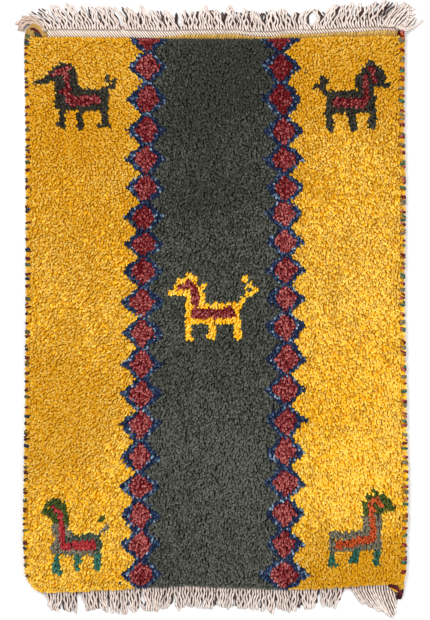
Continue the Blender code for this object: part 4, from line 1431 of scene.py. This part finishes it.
def make_ticks(side, node, materials):
    """Coloured yarns of the overcasting that lie over a side and into the pile."""
    chooser = np.random.default_rng(SIDES[side]["seed"] + 1)
    along, wools = tick_places(side)
    second = chooser.random(along.size) < 0.7
    wools = list(wools) + [wool for wool, more in zip(wools, second) if more]
    along = np.concatenate([along, along[second] + TICK_SECOND])
    names = sorted(set(wools))
    share = np.linspace(0.0, 1.0, len(TICK_PROFILE))
    from_edge = np.array([inset for inset, height in TICK_PROFILE])
    height = np.array([height for inset, height in TICK_PROFILE])
    reach = chooser.uniform(*TICK_SHARES, (along.size, 1))
    inset = from_edge[None, :] * np.where(share > 0.4, reach, 1.0)
    across = inset if side == "left" else RUG_WIDTH - inset
    lines = along[:, None] + TICK_SLANT * chooser.uniform(-0.5, 1.2, (along.size, 1)) * share
    paths = place(across, lines, np.broadcast_to(height, across.shape))
    radii = np.full(paths.shape[:2], SIDES[side]["radius"])
    faces, places = tube_faces(len(TICK_PROFILE), 5)
    points = tube_rings(paths, radii, 5, np.array([0.0, 1.0, 0.0]))
    tones = chooser.uniform(0.1, 0.9, along.size)
    kinds = [names.index(wool) for wool in wools]
    finishes = [materials[wool] for wool in names]
    piece = many_mesh(side + "_overcasting", points, faces, places, tones, finishes, kinds)
    hand_over(piece, "wrapping_yarn", node)


def left_rope_path():
    """Turned in over the top corner, down the left side and round the big bottom corner."""
    across = [p["inset"] for p in LEFT_ROPE_TOP] + [p["across"] for p in LEFT_ROPE_CORNER]
    along = [PILE_LENGTH + p["past"] for p in LEFT_ROPE_TOP] + [p["along"] for p in LEFT_ROPE_CORNER]
    return np.array(across), np.array(along)


def right_rope_path():
    """Down the right side, and out past the bottom corner."""
    across = [RUG_WIDTH - p["inset"] for p in RIGHT_ROPE_TOP + RIGHT_ROPE_BOTTOM]
    along = [PILE_LENGTH + p["past"] for p in RIGHT_ROPE_TOP] + [-p["past"] for p in RIGHT_ROPE_BOTTOM]
    return np.array(across), np.array(along)


def even_points(across, along, pitch):
    """Points at an even pitch along a rope's path over the rug."""
    lengths = np.hypot(np.diff(across), np.diff(along))
    many_across, many_along = [across[:1]], [along[:1]]
    for k, length in enumerate(lengths):
        share = np.linspace(0, 1, max(2, math.ceil(length / 0.004)))[1:]
        many_across.append(across[k] + (across[k + 1] - across[k]) * share)
        many_along.append(along[k] + (along[k + 1] - along[k]) * share)
    line = place(np.concatenate(many_across), np.concatenate(many_along), 0.0)
    run = np.concatenate([[0.0], np.cumsum(np.linalg.norm(np.diff(line, axis=0), axis=1))])
    count = round(run[-1] / pitch)
    spots = np.linspace(pitch / 2, run[-1] - pitch / 2, count)
    return np.stack([np.interp(spots, run, line[:, axis]) for axis in range(3)], axis=-1)


def make_selvedge(name, node, path, shares, seed, head, tail, materials):
    """A core of warps overcast with rings of coloured yarn."""
    chooser = np.random.default_rng(seed)
    centres = even_points(*path, WRAP_PITCH)
    count = len(centres)
    ahead = unit(np.gradient(centres, axis=0))
    side = np.cross(ahead, [0.0, 0.0, 1.0])
    half_width = ROPE_WIDTH / 2 - WRAP_RADIUS
    half_height = ROPE_HEIGHT / 2 - WRAP_RADIUS
    centres = centres + np.array([0.0, 0.0, ROPE_HEIGHT / 2])
    angle = 2 * math.pi * np.arange(WRAP_STEPS) / WRAP_STEPS
    rings = centres[:, None, :] + half_width * np.cos(angle)[:, None] * side[:, None, :]
    rings = rings + half_height * np.sin(angle)[:, None] * np.array([0.0, 0.0, 1.0])
    slant = WRAP_SLANT * np.sin(angle)[:, None] * ahead[:, None, :] + 0.0
    rings = rings + slant + chooser.normal(0, 0.00012, (count, 1, 3))
    inward = unit(rings - centres[:, None, :])
    section = 2 * math.pi * np.arange(4) / 4 + math.pi / 4
    points = (
        rings[:, :, None, :]
        + WRAP_RADIUS * np.cos(section)[:, None] * inward[:, :, None, :]
        + WRAP_RADIUS * np.sin(section)[:, None] * ahead[:, None, None, :]
    ).reshape(count, -1, 3)
    points[..., 2] = np.maximum(points[..., 2], 0.0)
    names = list(shares)
    kinds = []
    while len(kinds) < count:
        wool = chooser.choice(names, p=list(shares.values()))
        kinds += [names.index(wool)] * (chooser.integers(3, 8) if wool == "tan_gold" else chooser.integers(1, 4))
    kinds[: len(head)] = [names.index(wool) for wool in head]
    if tail:
        names.append(tail[0])
        kinds[count - tail[1] : count] = [len(names) - 1] * tail[1]
    faces, places = ring_faces(WRAP_STEPS, 4)
    tones = chooser.uniform(0.2, 1.0, count)
    wraps = many_mesh(
        name + "_wraps", points, faces, places, tones, [materials[wool] for wool in names], kinds[:count]
    )
    hand_over(wraps, "wrapping_yarn", node)
    radii = np.full((1, count), half_height)
    faces, places = tube_faces(count, 8)
    core_points = tube_rings(centres[None], radii, 8, np.array([0.0, 0.0, 1.0]))
    core = many_mesh(name + "_core", core_points, faces, places, np.array([0.5]), [materials["warp"]])
    hand_over(core, "wrapping_yarn", node)


def make_corner_yarns(node, materials):
    """One selvedge's yarns where they open out over a corner."""
    chooser = np.random.default_rng(61)
    for number, form in enumerate(CORNER_YARNS[node], 1):
        line = np.array(form["line"])
        ahead = unit(np.gradient(line, axis=0))
        square = np.stack([-ahead[:, 1], ahead[:, 0]], axis=-1)
        share = np.linspace(-0.5, 0.5, form["count"])
        lines = line[None] + form["spread"] * square[None] * share[:, None, None]
        lines = lines + chooser.normal(0, 0.0002, lines.shape)
        crown = 1 - share[:, None] ** 2 * 1.2
        over = 1 - 0.3 * np.linspace(-0.6, 1.0, len(line)) ** 2
        paths = place(lines[..., 0], lines[..., 1], form["height"] * crown * over)
        faces, places = tube_faces(len(line), 6, np.linspace(*CORNER_YARN_LEVELS, len(line)))
        radii = np.full(paths.shape[:2], CORNER_YARN_RADIUS)
        points = tube_rings(paths, radii, 6, np.array([0.0, 0.0, 1.0]))
        tones = chooser.uniform(0.2, 0.9, len(lines))
        title = f"{node}_corner_{number}"
        piece = many_mesh(title, points, faces, places, tones, [materials[form["wool"]]])
        hand_over(piece, "wrapping_yarn", node)


def floor_material():
    material = bpy.data.materials.new("studio_paper")
    material.use_nodes = True
    nodes = Nodes(material.node_tree)
    shader = material.node_tree.nodes["Principled BSDF"]
    grain = nodes.add("ShaderNodeTexNoise", None, Scale=40.0, Detail=4.0).outputs["Fac"]
    tint = nodes.mix(grain, (0.86, 0.86, 0.86, 1.0), (0.90, 0.90, 0.90, 1.0))
    material.node_tree.links.new(tint, shader.inputs["Base Color"])
    shader.inputs["Roughness"].default_value = 0.9
    return material


def make_studio():
    """A pale floor, soft light from all round and one broad lamp."""
    mesh = bpy.data.meshes.new("studio_floor")
    reach = 6.0
    corners = [(-reach, -reach, 0.0), (reach, -reach, 0.0), (reach, reach, 0.0), (-reach, reach, 0.0)]
    mesh.from_pydata(corners, [], [(0, 1, 2, 3)])
    mesh.materials.append(floor_material())
    floor = bpy.data.objects.new("studio_floor", mesh)
    floor.location = (0.0, 0.0, -0.0002)
    bpy.context.scene.collection.objects.link(floor)

    world = bpy.data.worlds.new("studio_air")
    world.use_nodes = True
    world.node_tree.nodes["Background"].inputs["Color"].default_value = (1.0, 1.0, 1.0, 1.0)
    world.node_tree.nodes["Background"].inputs["Strength"].default_value = 0.85
    bpy.context.scene.world = world
    for name, spot, size, watts in (
        ("key_lamp", (-0.8, 0.7, 1.9), 1.0, 26.0),
        ("fill_lamp", (1.4, -0.4, 1.6), 1.4, 14.0),
    ):
        data = bpy.data.lights.new(name, "AREA")
        data.shape = "DISK"
        data.size = size
        data.energy = watts
        lamp = bpy.data.objects.new(name, data)
        lamp.location = spot
        lamp.rotation_euler = (-Vector(spot)).to_track_quat("-Z", "Y").to_euler()
        bpy.context.scene.collection.objects.link(lamp)


def make_camera():
    """Straight above the rug, with the photo's framing."""
    data = bpy.data.cameras.new("camera")
    data.sensor_fit = "VERTICAL"
    data.sensor_height = SENSOR
    data.sensor_width = SENSOR
    data.lens = SENSOR * CAMERA_DISTANCE / VIEW_HEIGHT
    camera = bpy.data.objects.new("camera", data)
    camera.location = (
        MIDDLE_X,
        MIDDLE_Y + VIEW_MIDDLE_ALONG - PILE_LENGTH / 2,
        CAMERA_DISTANCE + RUG_THICKNESS,
    )
    bpy.context.scene.collection.objects.link(camera)
    bpy.context.scene.camera = camera


def main():
    bpy.context.scene.view_settings.view_transform = "Standard"
    yarn = make_yarn_group()
    materials = {name: wool_material(name + "_wool", wool, yarn) for name, wool in WOOLS.items()}
    # The warps below carry painted shade on the undersides of their yarn
    for name, look in (
        ("warp", {"wool": WARP, "unevenness": 0.22, "tip_start": 0.5, "underside_shade": 0.80}),
        ("shaded_bottom_warp", {"wool": SHADED_BOTTOM_WARP, "unevenness": 0.3, "tip_start": 0.5, "underside_shade": 0.85}),
        ("shaded_ground_warp", {"wool": SHADED_GROUND_WARP}),
        ("twining", {"wool": TWINING, "unevenness": 0.25, "tip_start": 0.3, "underside_shade": 0.85}),
        ("tan_warp", {"wool": TAN_WARP, "unevenness": 0.4, "tip_start": 0.5, "underside_shade": 0.80}),
        ("stained_warp", {"wool": STAINED_WARP, "unevenness": 0.2, "tip_start": 0.72, "underside_shade": 0.80}),
        ("painted_shadow_warp", {"wool": PAINTED_SHADOW_WARP}),
    ):
        materials[name] = wool_material("cream_" + name, group=yarn, turns=8.0, root_reach=0.1, **look)
    make_studio()
    make_camera()
    make_foundation(materials)
    make_pile_depth(materials)
    make_pile(materials)
    make_rim(materials)
    make_strip("top_strip", "fringe_top", TOP_STRIP, True, materials)
    make_strip("bottom_strip", "fringe_bottom", BOTTOM_STRIP, False, materials)
    make_fringe("top_fringe", "fringe_top", TOP_STRIP, TOP_FRINGE, True, 11, materials)
    make_fringe("bottom_fringe", "fringe_bottom", BOTTOM_STRIP, BOTTOM_FRINGE, False, 23, materials)
    make_bands(materials)
    make_ticks("left", "selvedge_left", materials)
    make_ticks("right", "selvedge_right", materials)
    make_selvedge("left_selvedge", "selvedge_left", left_rope_path(), LEFT_WRAPS, 3, LEFT_HEAD, None, materials)
    make_selvedge("right_selvedge", "selvedge_right", right_rope_path(), RIGHT_WRAPS, 4, RIGHT_HEAD, RIGHT_TAIL, materials)
    make_corner_yarns("selvedge_left", materials)
    make_corner_yarns("selvedge_right", materials)


main()
